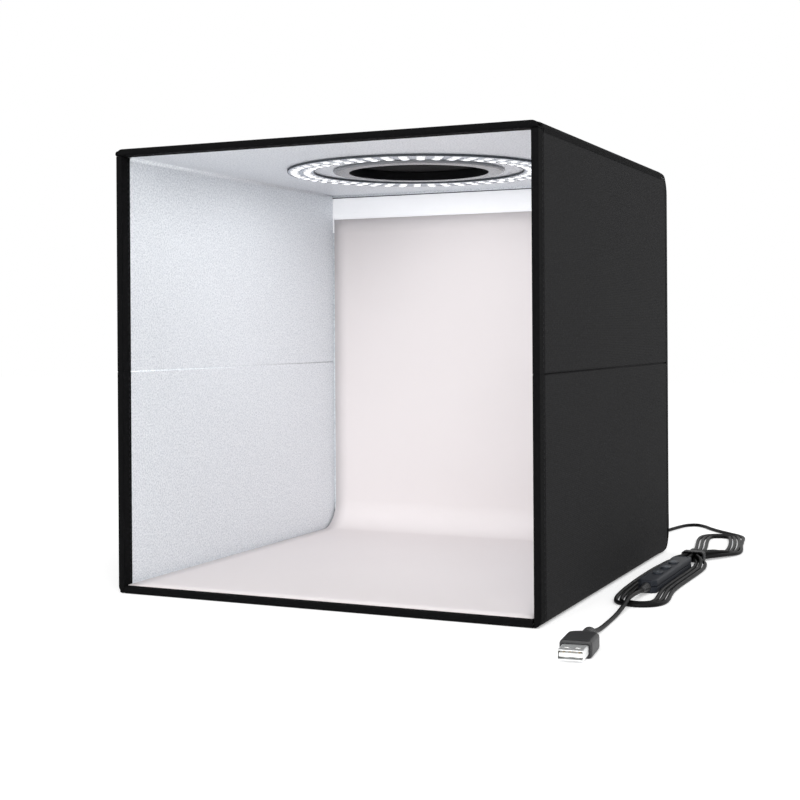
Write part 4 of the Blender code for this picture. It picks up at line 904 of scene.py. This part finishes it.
bm = cushion_slab(flap_low, flap_high, FLAP_CORNER, 0.9 * MM)
hollow(bm, (0, 0, -1), flap_high.z - flap_low.z - SKIN)
put(bm, "flap_cover_shell", fabric, "flap", "black_fabric", "flap_cover")
dress(fabric, "flap_board")
x0, x1 = flap_low.x + FLAP_SEAM, flap_high.x - FLAP_SEAM
y0, y1 = flap_low.y + FLAP_SEAM, flap_high.y - FLAP_SEAM
corners = [(x, y, flap_high.z) for x, y in ((x0, y0), (x1, y0), (x1, y1), (x0, y1))]
stitches("flap_edge_stitches", "flap", "black_fabric", *[
    (start, end, (0, 0, 1)) for start, end in zip(corners, corners[1:] + corners[:1])])
put(cushion_slab(*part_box("flap_pull_tab"), 2.5 * MM, 0.25 * MM), "flap_pull_webbing", tape, "flap",
    "black_tape", "flap_pull_tab")

# Hook tape: stiff nylon hooks on a black strip, which sparkle in rough rows of dots
hooks, tree, shader, place = new_material("black hook tape")
cells = node(tree, "ShaderNodeTexVoronoi", Vector=place, Scale=1 / (1.0 * MM), Randomness=0.35)
bump = node(tree, "ShaderNodeBump", Height=cells, Strength=1.0, Distance=0.4 * MM)
feed(tree, shader, Base_Color=hex_colour("19191b"), Roughness=0.5, Specular_IOR_Level=0.3, Normal=bump)
put(cushion_slab(*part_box("flap_hook_patch"), 1.5 * MM, 0.2 * MM), "flap_patch_hooks", hooks, "top",
    "black_tape", "flap_hook_patch")

HEM_CLOTH, OVER_FLAP = 0.25 * MM, 0.14 * MM
hem_x = hem_high.x
hem_profile = [(hem_low.x, hem_low.z + HEM_CLOTH), (hem_low.x + 6 * MM, hem_low.z + 0.3 * MM),
               (hem_x - 2.6 * MM, hem_low.z + 0.45 * MM), (hem_x - 1.4 * MM, hem_low.z + 0.9 * MM),
               (hem_x - 0.7 * MM, hem_low.z + 1.7 * MM), (hem_x - 0.1 * MM, hem_high.z + 0.1 * MM),
               (hem_x + 0.4 * MM, hem_high.z + 0.38 * MM)]
hem_profile += [(flap_low.x + over * MM, flap_high.z + OVER_FLAP) for over in (1.0, 2.6, 5.0)]
bridge_strip("flap_hinge_cloth", ribbon(hem_profile, "Y", hem_low.y + SEAT, hem_high.y - SEAT), tape,
             "black_tape", ("top", "flap"), (hem_x - 0.1 * MM, 0, flap_high.z),
             (flap_low.x + 1.0 * MM, 0, flap_high.z), "flap_hinge_hem")
seam_x, seam_z = hem_low.x + 3 * MM, hem_low.z + 0.4 * MM
stitches("flap_hem_stitches", "top", "black_tape",
         ((seam_x, hem_low.y + 2 * MM, seam_z), (seam_x, hem_high.y - 2 * MM, seam_z), (0, 0, 1)))


# The back panel: a board in the same cloth that hangs on the fabric strip round the low rear edge, with
# a white strip of hook-and-loop across its top inside and two webbing tabs that close it on the top.

TAB = 0.8 * MM
TAB_SEAM = 2 * MM
HINGE_BEND = 1.0 * MM
HINGE_SUNK = 0.12 * MM
HINGE_PROUD = 0.2 * MM
back_inner = back_low.y
back_profile = [(back_inner + COVER_LIFT, back_low.z), (back_y, back_low.z)] + arc(
    roof_bend, rear_round, 0, math.degrees(math.acos((rear_round - panel + COVER_LIFT) / rear_round)))
bm = extruded(back_profile, "X", -half, half)
soften(bm, lambda v: abs(v.x) > half - SLACK and v.y > back_inner + COVER_LIFT + SLACK, EDGE, 4)
hollow(bm, (0, -1, 0), panel - COVER_LIFT - SKIN)
put(bm, "back_cover_shell", fabric, "back", "black_fabric", "back_cover")

# White loop tape: brushed nylon, with a faint blue-white glow painted on to brighten it where the ring light
# leaves it in shade
loops, tree, shader, place = new_material("white loop tape")
pile = node(tree, "ShaderNodeTexNoise", Vector=place, Scale=1 / (0.9 * MM), Detail=4.0)
nap = node(tree, "ShaderNodeValToRGB", stops=((0, "f2f2f2"), (1, "ffffff")), Fac=pile)
bump = node(tree, "ShaderNodeBump", Height=pile, Strength=0.5, Distance=0.25 * MM)
# painted light: the emission makes the strip glow though it is no lamp
feed(tree, shader, Base_Color=nap, Roughness=0.9, Emission_Color=hex_colour("f4f6ff"),
     Emission_Strength=0.2, Normal=bump)
white_low, white_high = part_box("hanger_strip")
for name, low_z, high_z, material, slot, stood_for in (
        ("back_silver_lining", back_low.z + RIM + SEAT / 3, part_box("back_lining")[1].z, silver,
         "silver_lining", "back_lining"),
        ("white_hanger_strip", white_low.z, white_high.z + 1.4 * MM, loops, "white_tape", "hanger_strip")):
    bm = slab((-lining_reach, back_inner, low_z), (lining_reach, back_inner + LINING, high_z))
    soften(bm, lambda v: v.y < back_inner + SLACK, LINING / 2, 2)
    put(bm, name, material, "back", slot, stood_for)

tab_y = back_y + SEAT + TAB
for side in ("left", "right"):
    low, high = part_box(f"closing_tab_{side}")
    outline = [(low.y, roof_z + SEAT), *arc(roof_bend, rear_round + SEAT, 90, 0, 16), (back_y + SEAT, low.z),
               (tab_y, low.z), *arc(roof_bend, rear_round + SEAT + TAB, 0, 90, 16),
               (low.y, roof_z + SEAT + TAB)]
    bm = extruded(outline, "X", low.x, high.x)
    soften(bm, lambda v: v.x < low.x + SLACK or v.x > high.x - SLACK, TAB / 3, 2)
    put(bm, f"closing_webbing_{side}", tape, "back", "black_tape", f"closing_tab_{side}")
    near, far = low.x + TAB_SEAM, high.x - TAB_SEAM
    rows = [((x, tab_y, low.z + TAB_SEAM), (x, tab_y, roof_z - rear_round), (0, 1, 0)) for x in (near, far)]
    rows += [((near, tab_y, low.z + z), (far, tab_y, low.z + z), (0, 1, 0)) for z in (TAB_SEAM, 11 * MM)]
    stitches(f"closing_stitches_{side}", "back", "black_tape", *rows)

strip_line = [(round_y - HINGE_PROUD, HINGE_SUNK)]
strip_line += arc((round_y, rear_round), rear_round - HINGE_SUNK, -90, 0, 24)
strip_line.append((back_y - HINGE_SUNK + HINGE_PROUD, rear_round + 0.4 * MM))
strip_line += [(back_y + HINGE_PROUD, rear_round + up * MM) for up in (1.5, 5.0, 9.0)]
bm = ribbon(strip_line, "X", -half, half)
for sign in (-1, 1):
    round_corner(bm, sign * half, 0, OUTER_CORNER)
bridge_strip("rear_hinge_cloth", bm, fabric, "black_fabric", ("base", "back"),
             (0, back_y, rear_round - HINGE_BEND), (0, back_y, rear_round + HINGE_BEND), "rear_hinge_strip")
bend_low, bend_high = rear_round - 3 * HINGE_BEND, rear_round + 3 * HINGE_BEND
base_y, floor_z = base_high.y, base_high.z
inside_line = [(base_y - 1.0 * MM, floor_z + HAIR), (base_y + 0.8 * MM, floor_z + 0.2 * MM),
               (back_inner - 0.8 * MM, floor_z + 1.3 * MM), (back_inner - 0.2 * MM, floor_z + 3.6 * MM),
               (back_inner - HAIR, bend_low), (back_inner + SEAT, rear_round),
               (back_inner + SEAT, bend_high)]
bridge_strip("rear_corner_lining", ribbon(inside_line, "X", -inner_half, inner_half), silver,
             "silver_lining", ("base", "back"), (0, back_inner, bend_low),
             (0, back_inner, rear_round + HINGE_BEND))

# Tape closes the slit beside each side panel, with its silver side to the inside of the tent
TAPE_REACH = 0.7 * MM
outline = [(back_inner + SEAT, bend_high), *arc(roof_bend, rear_round - panel + SEAT, 0, 40, 8),
           *arc(roof_bend, rear_round - panel - TAPE_REACH, 40, 0, 8), (back_inner - TAPE_REACH, bend_high)]
for side, sign in (("left", -1), ("right", 1)):
    near, far = sorted((sign * (inner_half + 0.4 * MM), sign * (half - 0.1 * MM)))
    bm = extruded(outline, "X", near, far)
    two_tone(bm, lambda face: sign * face.normal.x < -0.5)
    put(bm, f"{side}_rear_edge_tape", (tape, silver), "back", "black_tape")


# The backdrop: a pale, matt sheet of soft vinyl that hangs on the white strip and sweeps over the floor
# to the front edge.

SHEET = 0.5 * MM
SWEEP = 20 * MM
sheet_low, sheet_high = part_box("backdrop")
bend = (sheet_high.y - SWEEP - SHEET, sheet_low.z + SHEET / 2 + SWEEP)
lay = [(sheet_low.y, sheet_low.z + SHEET / 2)]
lay += [(sheet_low.y + (bend[0] - sheet_low.y) * i / 24, sheet_low.z + SHEET / 2) for i in range(1, 24)]
lay += arc(bend, SWEEP, -90, 0, 16)
lay += [(bend[0] + SWEEP, bend[1] + (sheet_high.z - bend[1]) * i / 20) for i in range(1, 21)]
bm = ribbon(lay, "X", sheet_low.x, sheet_high.x)
cut_across(bm, "X", [sheet_low.x + (sheet_high.x - sheet_low.x) * i / 24 for i in range(1, 24)])
# Soft vinyl, calendered matt: pale and warm, nearly even, with a leather grain too fine to stand out
vinyl, tree, shader, place = new_material("pale matt vinyl sheet")
cloud = node(tree, "ShaderNodeTexNoise", Vector=place, Scale=1 / (80 * MM), Detail=1.0)
leather = node(tree, "ShaderNodeTexNoise", Vector=place, Scale=1 / (0.9 * MM), Detail=3.0)
shade = node(tree, "ShaderNodeValToRGB", stops=((0, "d7d1d1"), (1, "dbd5d5")), Fac=cloud)
bump = node(tree, "ShaderNodeBump", Height=leather, Strength=0.15, Distance=0.05 * MM)
feed(tree, shader, Base_Color=shade, Roughness=0.55, Specular_IOR_Level=0.3, Normal=bump)
sheet = put(bm, "backdrop_sheet", vinyl, None, "pale_sheet", "backdrop")
wall = sheet.modifiers.new("vinyl", "SOLIDIFY")
wall.thickness, wall.offset = SHEET, 0
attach(sheet, "base")
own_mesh(sheet)


# The grommet in the rear edge, the strain reliefs and the tie: soft black vinyl mouldings with ribs, and
# a strap of hook-and-loop round the waist of the hank.

# Soft black moulding: vinyl with a fine orange peel and a dull shine
moulded = grained("soft black moulding", "19191b", 0.7 * MM, (0.42, 0.58), (0.2, 0.06 * MM))


def ribbed_boot(name, node_name, start, way, profile):
    """A turned boot: a (radius, distance) line spun round its own axis, from a start along +Y or -Y."""
    x, y, z = start
    bm = spun([(x + r, y + way * d, z) for r, d in profile], start, (0, 1, 0), 32, closed=False)
    put(bm, name, moulded, "base", "soft_plastic", node_name)


def boot_profile(neck, neck_length, flange, flange_thick, wide, tip, length, ribs):
    """The line of a boot with a flange and shallow ribs that grow smaller to its tip."""
    start = neck_length + flange_thick
    line = [(0, 0), (neck, 0), (neck, neck_length)]
    if flange > neck:
        line += [(flange - 0.3 * MM, neck_length), (flange, neck_length + 0.3 * MM),
                 (flange, start - 0.3 * MM), (flange - 0.3 * MM, start)]
    pitch = length / ribs
    for i in range(ribs):
        for share, cut in ((0.0, 0.0), (0.45, 0.0), (0.6, 0.22), (0.85, 0.22)):
            along = (i + share) / ribs
            line.append((wide + (tip - wide) * along - cut * MM, start + pitch * (i + share)))
    return line + [(tip, start + length - 0.3 * MM), (tip - 0.2 * MM, start + length), (0, start + length)]


low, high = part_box("cable_grommet")
neck_length = back_y + SEAT - low.y
ribbed_boot("grommet_boot", "cable_grommet", ((low.x + high.x) / 2, low.y, (low.z + high.z) / 2), 1,
            boot_profile(2.2 * MM, neck_length, 4.0 * MM, 1.2 * MM, 3.0 * MM, 1.8 * MM,
                         high.y - low.y - neck_length - 1.2 * MM, 5))
for name, way in (("relief_in", 1), ("relief_out", -1)):
    low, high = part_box(name)
    case_low, case_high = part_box("controller_lower_case")
    start_y = low.y if way > 0 else high.y
    face_y = case_high.y if way > 0 else case_low.y
    neck_length = abs(face_y - start_y) + SEAT
    total = high.y - low.y
    ribbed_boot(f"{name}_boot", name, ((low.x + high.x) / 2, start_y, (low.z + high.z) / 2), way,
                boot_profile(1.7 * MM, neck_length, 1.7 * MM, 0, 2.6 * MM, 1.6 * MM, total - neck_length, 4))

low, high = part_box("cord_tie")
TIE_CORNER = 2.0 * MM


def tie_line(inset):
    """The tie's section round the strands, as (x, z) points, going round once."""
    x0, x1, z0, z1 = low.x + inset, high.x - inset, low.z + inset, high.z - inset
    r = TIE_CORNER - inset
    return (arc((x1 - r, z0 + r), r, -90, 0, 5) + arc((x1 - r, z1 - r), r, 0, 90, 5)
            + arc((x0 + r, z1 - r), r, 90, 180, 5) + arc((x0 + r, z0 + r), r, 180, 270, 5))


bm = bmesh.new()
rings = []
for y in (low.y, high.y):
    for inset in (0, 0.7 * MM):
        loop = [bm.verts.new((x, y, z)) for x, z in tie_line(inset)]
        rings.append([bm.edges.new(pair) for pair in zip(loop, loop[1:] + loop[:1])])
for one, other in ((0, 1), (0, 2), (2, 3), (1, 3)):
    bmesh.ops.bridge_loops(bm, edges=rings[one] + rings[other])
put(bm, "cord_strap", hooks, "base", "black_tape", "cord_tie")


# The inline dimmer: two moulded shells of slate ABS that meet at a seam, with three low keys on top.
# The keys carry plain raised marks: less, more, and a ring for the switch.

# The case is slate with a fine spark-eroded grain, its keys a shade lighter and smoother, the print grey
slate = grained("slate moulded abs", "23262c", 0.5 * MM, (0.42, 0.6), (0.25, 0.05 * MM), 3.0,
                Specular_IOR_Level=0.15)
keys = grained("grey moulded keys", "2c3036", 0.6 * MM, (0.38, 0.5), Specular_IOR_Level=0.2)
pad_print = grained("pale pad print", "6d727a", 0.4 * MM, (0.5, 0.7))
dress(lacquer, "controller_board")

CASE_CORNER = 2.5 * MM
CASE_EDGE = 0.8 * MM
CASE_WALL = 1.2 * MM
BEZEL = 1.6 * MM
BEZEL_SUNK = 0.25 * MM
KEY_CROWN = 0.3 * MM
MARK = 0.12 * MM
MARK_REACH, MARK_HALF = 1.4 * MM, 0.25 * MM
RING_MARK = (0.95 * MM, 1.35 * MM)


def octagon(low, high, corner):
    """A box outline with its four corners cut off."""
    return [(low.x + corner, low.y), (high.x - corner, low.y), (high.x, low.y + corner),
            (high.x, high.y - corner), (high.x - corner, high.y), (low.x + corner, high.y),
            (low.x, high.y - corner), (low.x, low.y + corner)]


def stadium(low, high, grow=0.0, steps=12):
    """A long outline with round ends, along Y."""
    middle, reach = (low.x + high.x) / 2, (high.x - low.x) / 2
    return (arc((middle, high.y - reach), reach + grow, 0, 180, steps)
            + arc((middle, low.y + reach), reach + grow, 180, 360, steps))


key_nodes = (("dimmer_key", "button_dimmer", "minus"), ("brighter_key", "button_brighter", "plus"),
             ("power_key", "button_power", "ring"))
for name, way in (("controller_lower_case", -1), ("controller_upper_case", 1)):
    low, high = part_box(name)
    bm = extruded(octagon(low, high, CASE_CORNER), "Z", low.z, high.z)
    face_z = high.z if way > 0 else low.z
    soften(bm, lambda v: abs(v.z - face_z) < SLACK, CASE_EDGE, 3)
    soften(bm, lambda v: True, 0.5 * MM, 2)
    hollow(bm, (0, 0, -way), high.z - low.z - CASE_WALL)
    if way > 0:
        panel_face = max((f for f in bm.faces if f.normal.z > 0.99), key=lambda f: f.calc_area())
        bmesh.ops.inset_region(bm, faces=[panel_face], thickness=BEZEL - CASE_EDGE)
        bmesh.ops.inset_region(bm, faces=[panel_face], thickness=0.15 * MM, depth=-BEZEL_SUNK)
        for _, node_name, _ in key_nodes:
            key_low, key_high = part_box(node_name)
            bm = cut_out(bm, extruded(stadium(key_low, key_high, SEAT), "Z", low.z - MM, high.z + MM))
    put(bm, name.replace("controller", "dimmer"), slate, "base", "case_plastic", name)
for body, node_name, mark in key_nodes:
    low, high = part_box(node_name)
    bm = extruded(stadium(low, high), "Z", low.z, high.z)
    soften(bm, lambda v: v.z > high.z - SLACK, KEY_CROWN, 3)
    put(bm, f"{body}_cap", keys, body, "key_plastic", node_name)
    middle = Vector(((low.x + high.x) / 2, (low.y + high.y) / 2, high.z + MARK / 2))
    w, r = MARK_HALF, MARK_REACH
    if mark == "ring":
        near, far = RING_MARK
        section = [(near, -MARK), (far, -MARK), (far, MARK / 2), (near, MARK / 2)]
        bm = spun([middle + Vector((across, 0, up)) for across, up in section], middle, (0, 0, 1), 32)
    else:
        outline = [(-w, -r), (w, -r), (w, r), (-w, r)]
        if mark == "plus":
            outline = [(-w, -r), (w, -r), (w, -w), (r, -w), (r, w), (w, w), (w, r), (-w, r), (-w, w), (-r, w),
                       (-r, -w), (-w, -w)]
        bm = extruded([(middle.x + x, middle.y + y) for x, y in outline], "Z", high.z - MARK, high.z + MARK)
    put(bm, f"{body}_mark", pad_print, body, "key_plastic")


# The plug: black vinyl moulded over the cord's end, with a tapered, ribbed neck, round a plated steel
# shell. The shell is folded from sheet with two windows, and holds a white nylon tongue with contacts.

# The shell is bright nickel with soft blurred reflections; nylon and thin gold show in its mouth
plated = grained("nickel plated steel", "eceded", 0.5 * MM, (0.35, 0.5), Metallic=1.0)
nylon = grained("white moulded nylon", "f0f0ee", 1.2 * MM, (0.35, 0.5))
gold = grained("gold plated contacts", "d8b66a", 0.5 * MM, (0.2, 0.35), Metallic=1.0)

COLLAR, COLLAR_LENGTH = 3.2 * MM, 8 * MM
FLARE = 9 * MM
PLUG_HALF, PLUG_RISE, PLUG_LENGTH = 7.5 * MM, 4.0 * MM, 35 * MM
SHELL_HALF, SHELL_RISE, SHELL_WALL, SHELL_ROUND = 6.0 * MM, 2.25 * MM, 0.4 * MM, 0.7 * MM
SHELL_FRONT, SHELL_REAR = -47 * MM, -31 * MM
WINDOW, WINDOW_PITCH, WINDOW_SETBACK = 2.1 * MM, 5.0 * MM, 4.6 * MM
TONGUE_HALF, TONGUE_LOW, TONGUE_THICK = 5.3 * MM, -1.15 * MM, 1.8 * MM
TONGUE_SETBACK, TONGUE_BLOCK, TONGUE_ROOM = 1.2 * MM, 3.0 * MM, 1.55 * MM
CONTACT, CONTACT_WIDE, CONTACT_END = 0.1 * MM, 1.0 * MM, 9.2 * MM
PLUG_CORNER = 1.8 * MM


def rounded(across, up, corner, steps=4):
    """A rectangle outline about the middle, with round corners."""
    return [point for x, y, start in ((1, 1, 0), (-1, 1, 90), (-1, -1, 180), (1, -1, 270))
            for point in arc((x * (across - corner), y * (up - corner)), corner, start, start + 90, steps)]


def on_plug(bm):
    """Carries a mesh that is made along -Y to the plug's place and turn."""
    bmesh.ops.transform(bm, matrix=Matrix.Translation(plug_start) @ Matrix.Rotation(PLUG_TURN, 4, "Z"),
                        verts=bm.verts)
    return bm


sections = [(0.0, 0.82, 0.82), (0.3 * MM, 0.95, 0.95)]
for i in range(3):
    rib = (0.4 + 2.3 * i) * MM
    sections += [(rib + 0.2 * MM, 1, 1), (rib + 1.4 * MM, 1, 1), (rib + 1.6 * MM, 0.88, 0.88),
                 (rib + 2.1 * MM, 0.88, 0.88)]
sections = [(y, COLLAR * across, COLLAR * up, 0.9 * COLLAR * across) for y, across, up in sections]
for i in range(11):
    share = i / 10
    ease = share * share * (3 - 2 * share)
    sections.append((COLLAR_LENGTH + FLARE * share, COLLAR + (PLUG_HALF - COLLAR) * ease,
                     COLLAR + (PLUG_RISE - COLLAR) * ease,
                     COLLAR * 0.9 + (PLUG_CORNER - COLLAR * 0.9) * ease))
sections += [(PLUG_LENGTH - back * MM, PLUG_HALF - less * MM, PLUG_RISE - less * MM, corner * MM)
             for back, less, corner in ((1.0, 0, 1.8), (0.3, 0.3, 1.5), (0, 0.9, 1.0))]
bm = bmesh.new()
rings = [[bm.verts.new((x, -y, z)) for x, z in rounded(across, up, corner)]
         for y, across, up, corner in sections]
for one, other in zip(rings, rings[1:]):
    for i in range(len(one)):
        j = (i + 1) % len(one)
        bm.faces.new((one[i], one[j], other[j], other[i]))
bm.faces.new(rings[0])
bm.faces.new(rings[-1])
seat = extruded(rounded(SHELL_HALF + SEAT, SHELL_RISE + SEAT, SHELL_ROUND), "Y", -PLUG_LENGTH - MM,
                SHELL_REAR + SEAT)
put(on_plug(cut_out(bm, seat)), "plug_body", moulded, "base", "soft_plastic", "plug_overmould")
inside = rounded(SHELL_HALF - SHELL_WALL, SHELL_RISE - SHELL_WALL, SHELL_ROUND - SHELL_WALL)
bm = cut_out(extruded(rounded(SHELL_HALF, SHELL_RISE, SHELL_ROUND), "Y", SHELL_FRONT, SHELL_REAR),
             extruded(inside, "Y", SHELL_FRONT - MM, SHELL_REAR + MM))
window_y = SHELL_FRONT + WINDOW_SETBACK
for way in (-1, 1):
    x = way * WINDOW_PITCH / 2
    bm = cut_out(bm, slab((x - WINDOW / 2, window_y - WINDOW / 2, -2 * SHELL_RISE),
                          (x + WINDOW / 2, window_y + WINDOW / 2, 2 * SHELL_RISE)))
put(on_plug(bm), "plug_sleeve", plated, "base", "plated_steel", "plug_shell")
bm = slab((-TONGUE_HALF, SHELL_FRONT + TONGUE_SETBACK, TONGUE_LOW),
          (TONGUE_HALF, SHELL_REAR - TONGUE_BLOCK / 2, TONGUE_LOW + TONGUE_THICK))
soften(bm, lambda v: v.y < SHELL_FRONT + TONGUE_SETBACK + SLACK, 0.3 * MM, 2)
put(on_plug(bm), "plug_contact_tongue", nylon, "base", "white_plastic", "plug_tongue")
bm = slab((-TONGUE_HALF, SHELL_REAR - TONGUE_BLOCK, -TONGUE_ROOM), (TONGUE_HALF, SHELL_REAR, TONGUE_ROOM))
put(on_plug(bm), "plug_tongue_root", nylon, "base", "white_plastic")
contacts = bmesh.new()
for x, reach in ((-3.5, 7.4), (-1.0, 6.4), (1.0, 6.4), (3.5, 7.4)):
    middle = (x * MM, SHELL_FRONT + TONGUE_SETBACK + CONTACT_END - reach * MM / 2, TONGUE_LOW + TONGUE_THICK)
    block(contacts, Matrix.Translation(middle), (CONTACT_WIDE, reach * MM, 2 * CONTACT))
put(on_plug(contacts), "plug_contacts", gold, "base", "plated_steel")


bpy.context.view_layer.update()
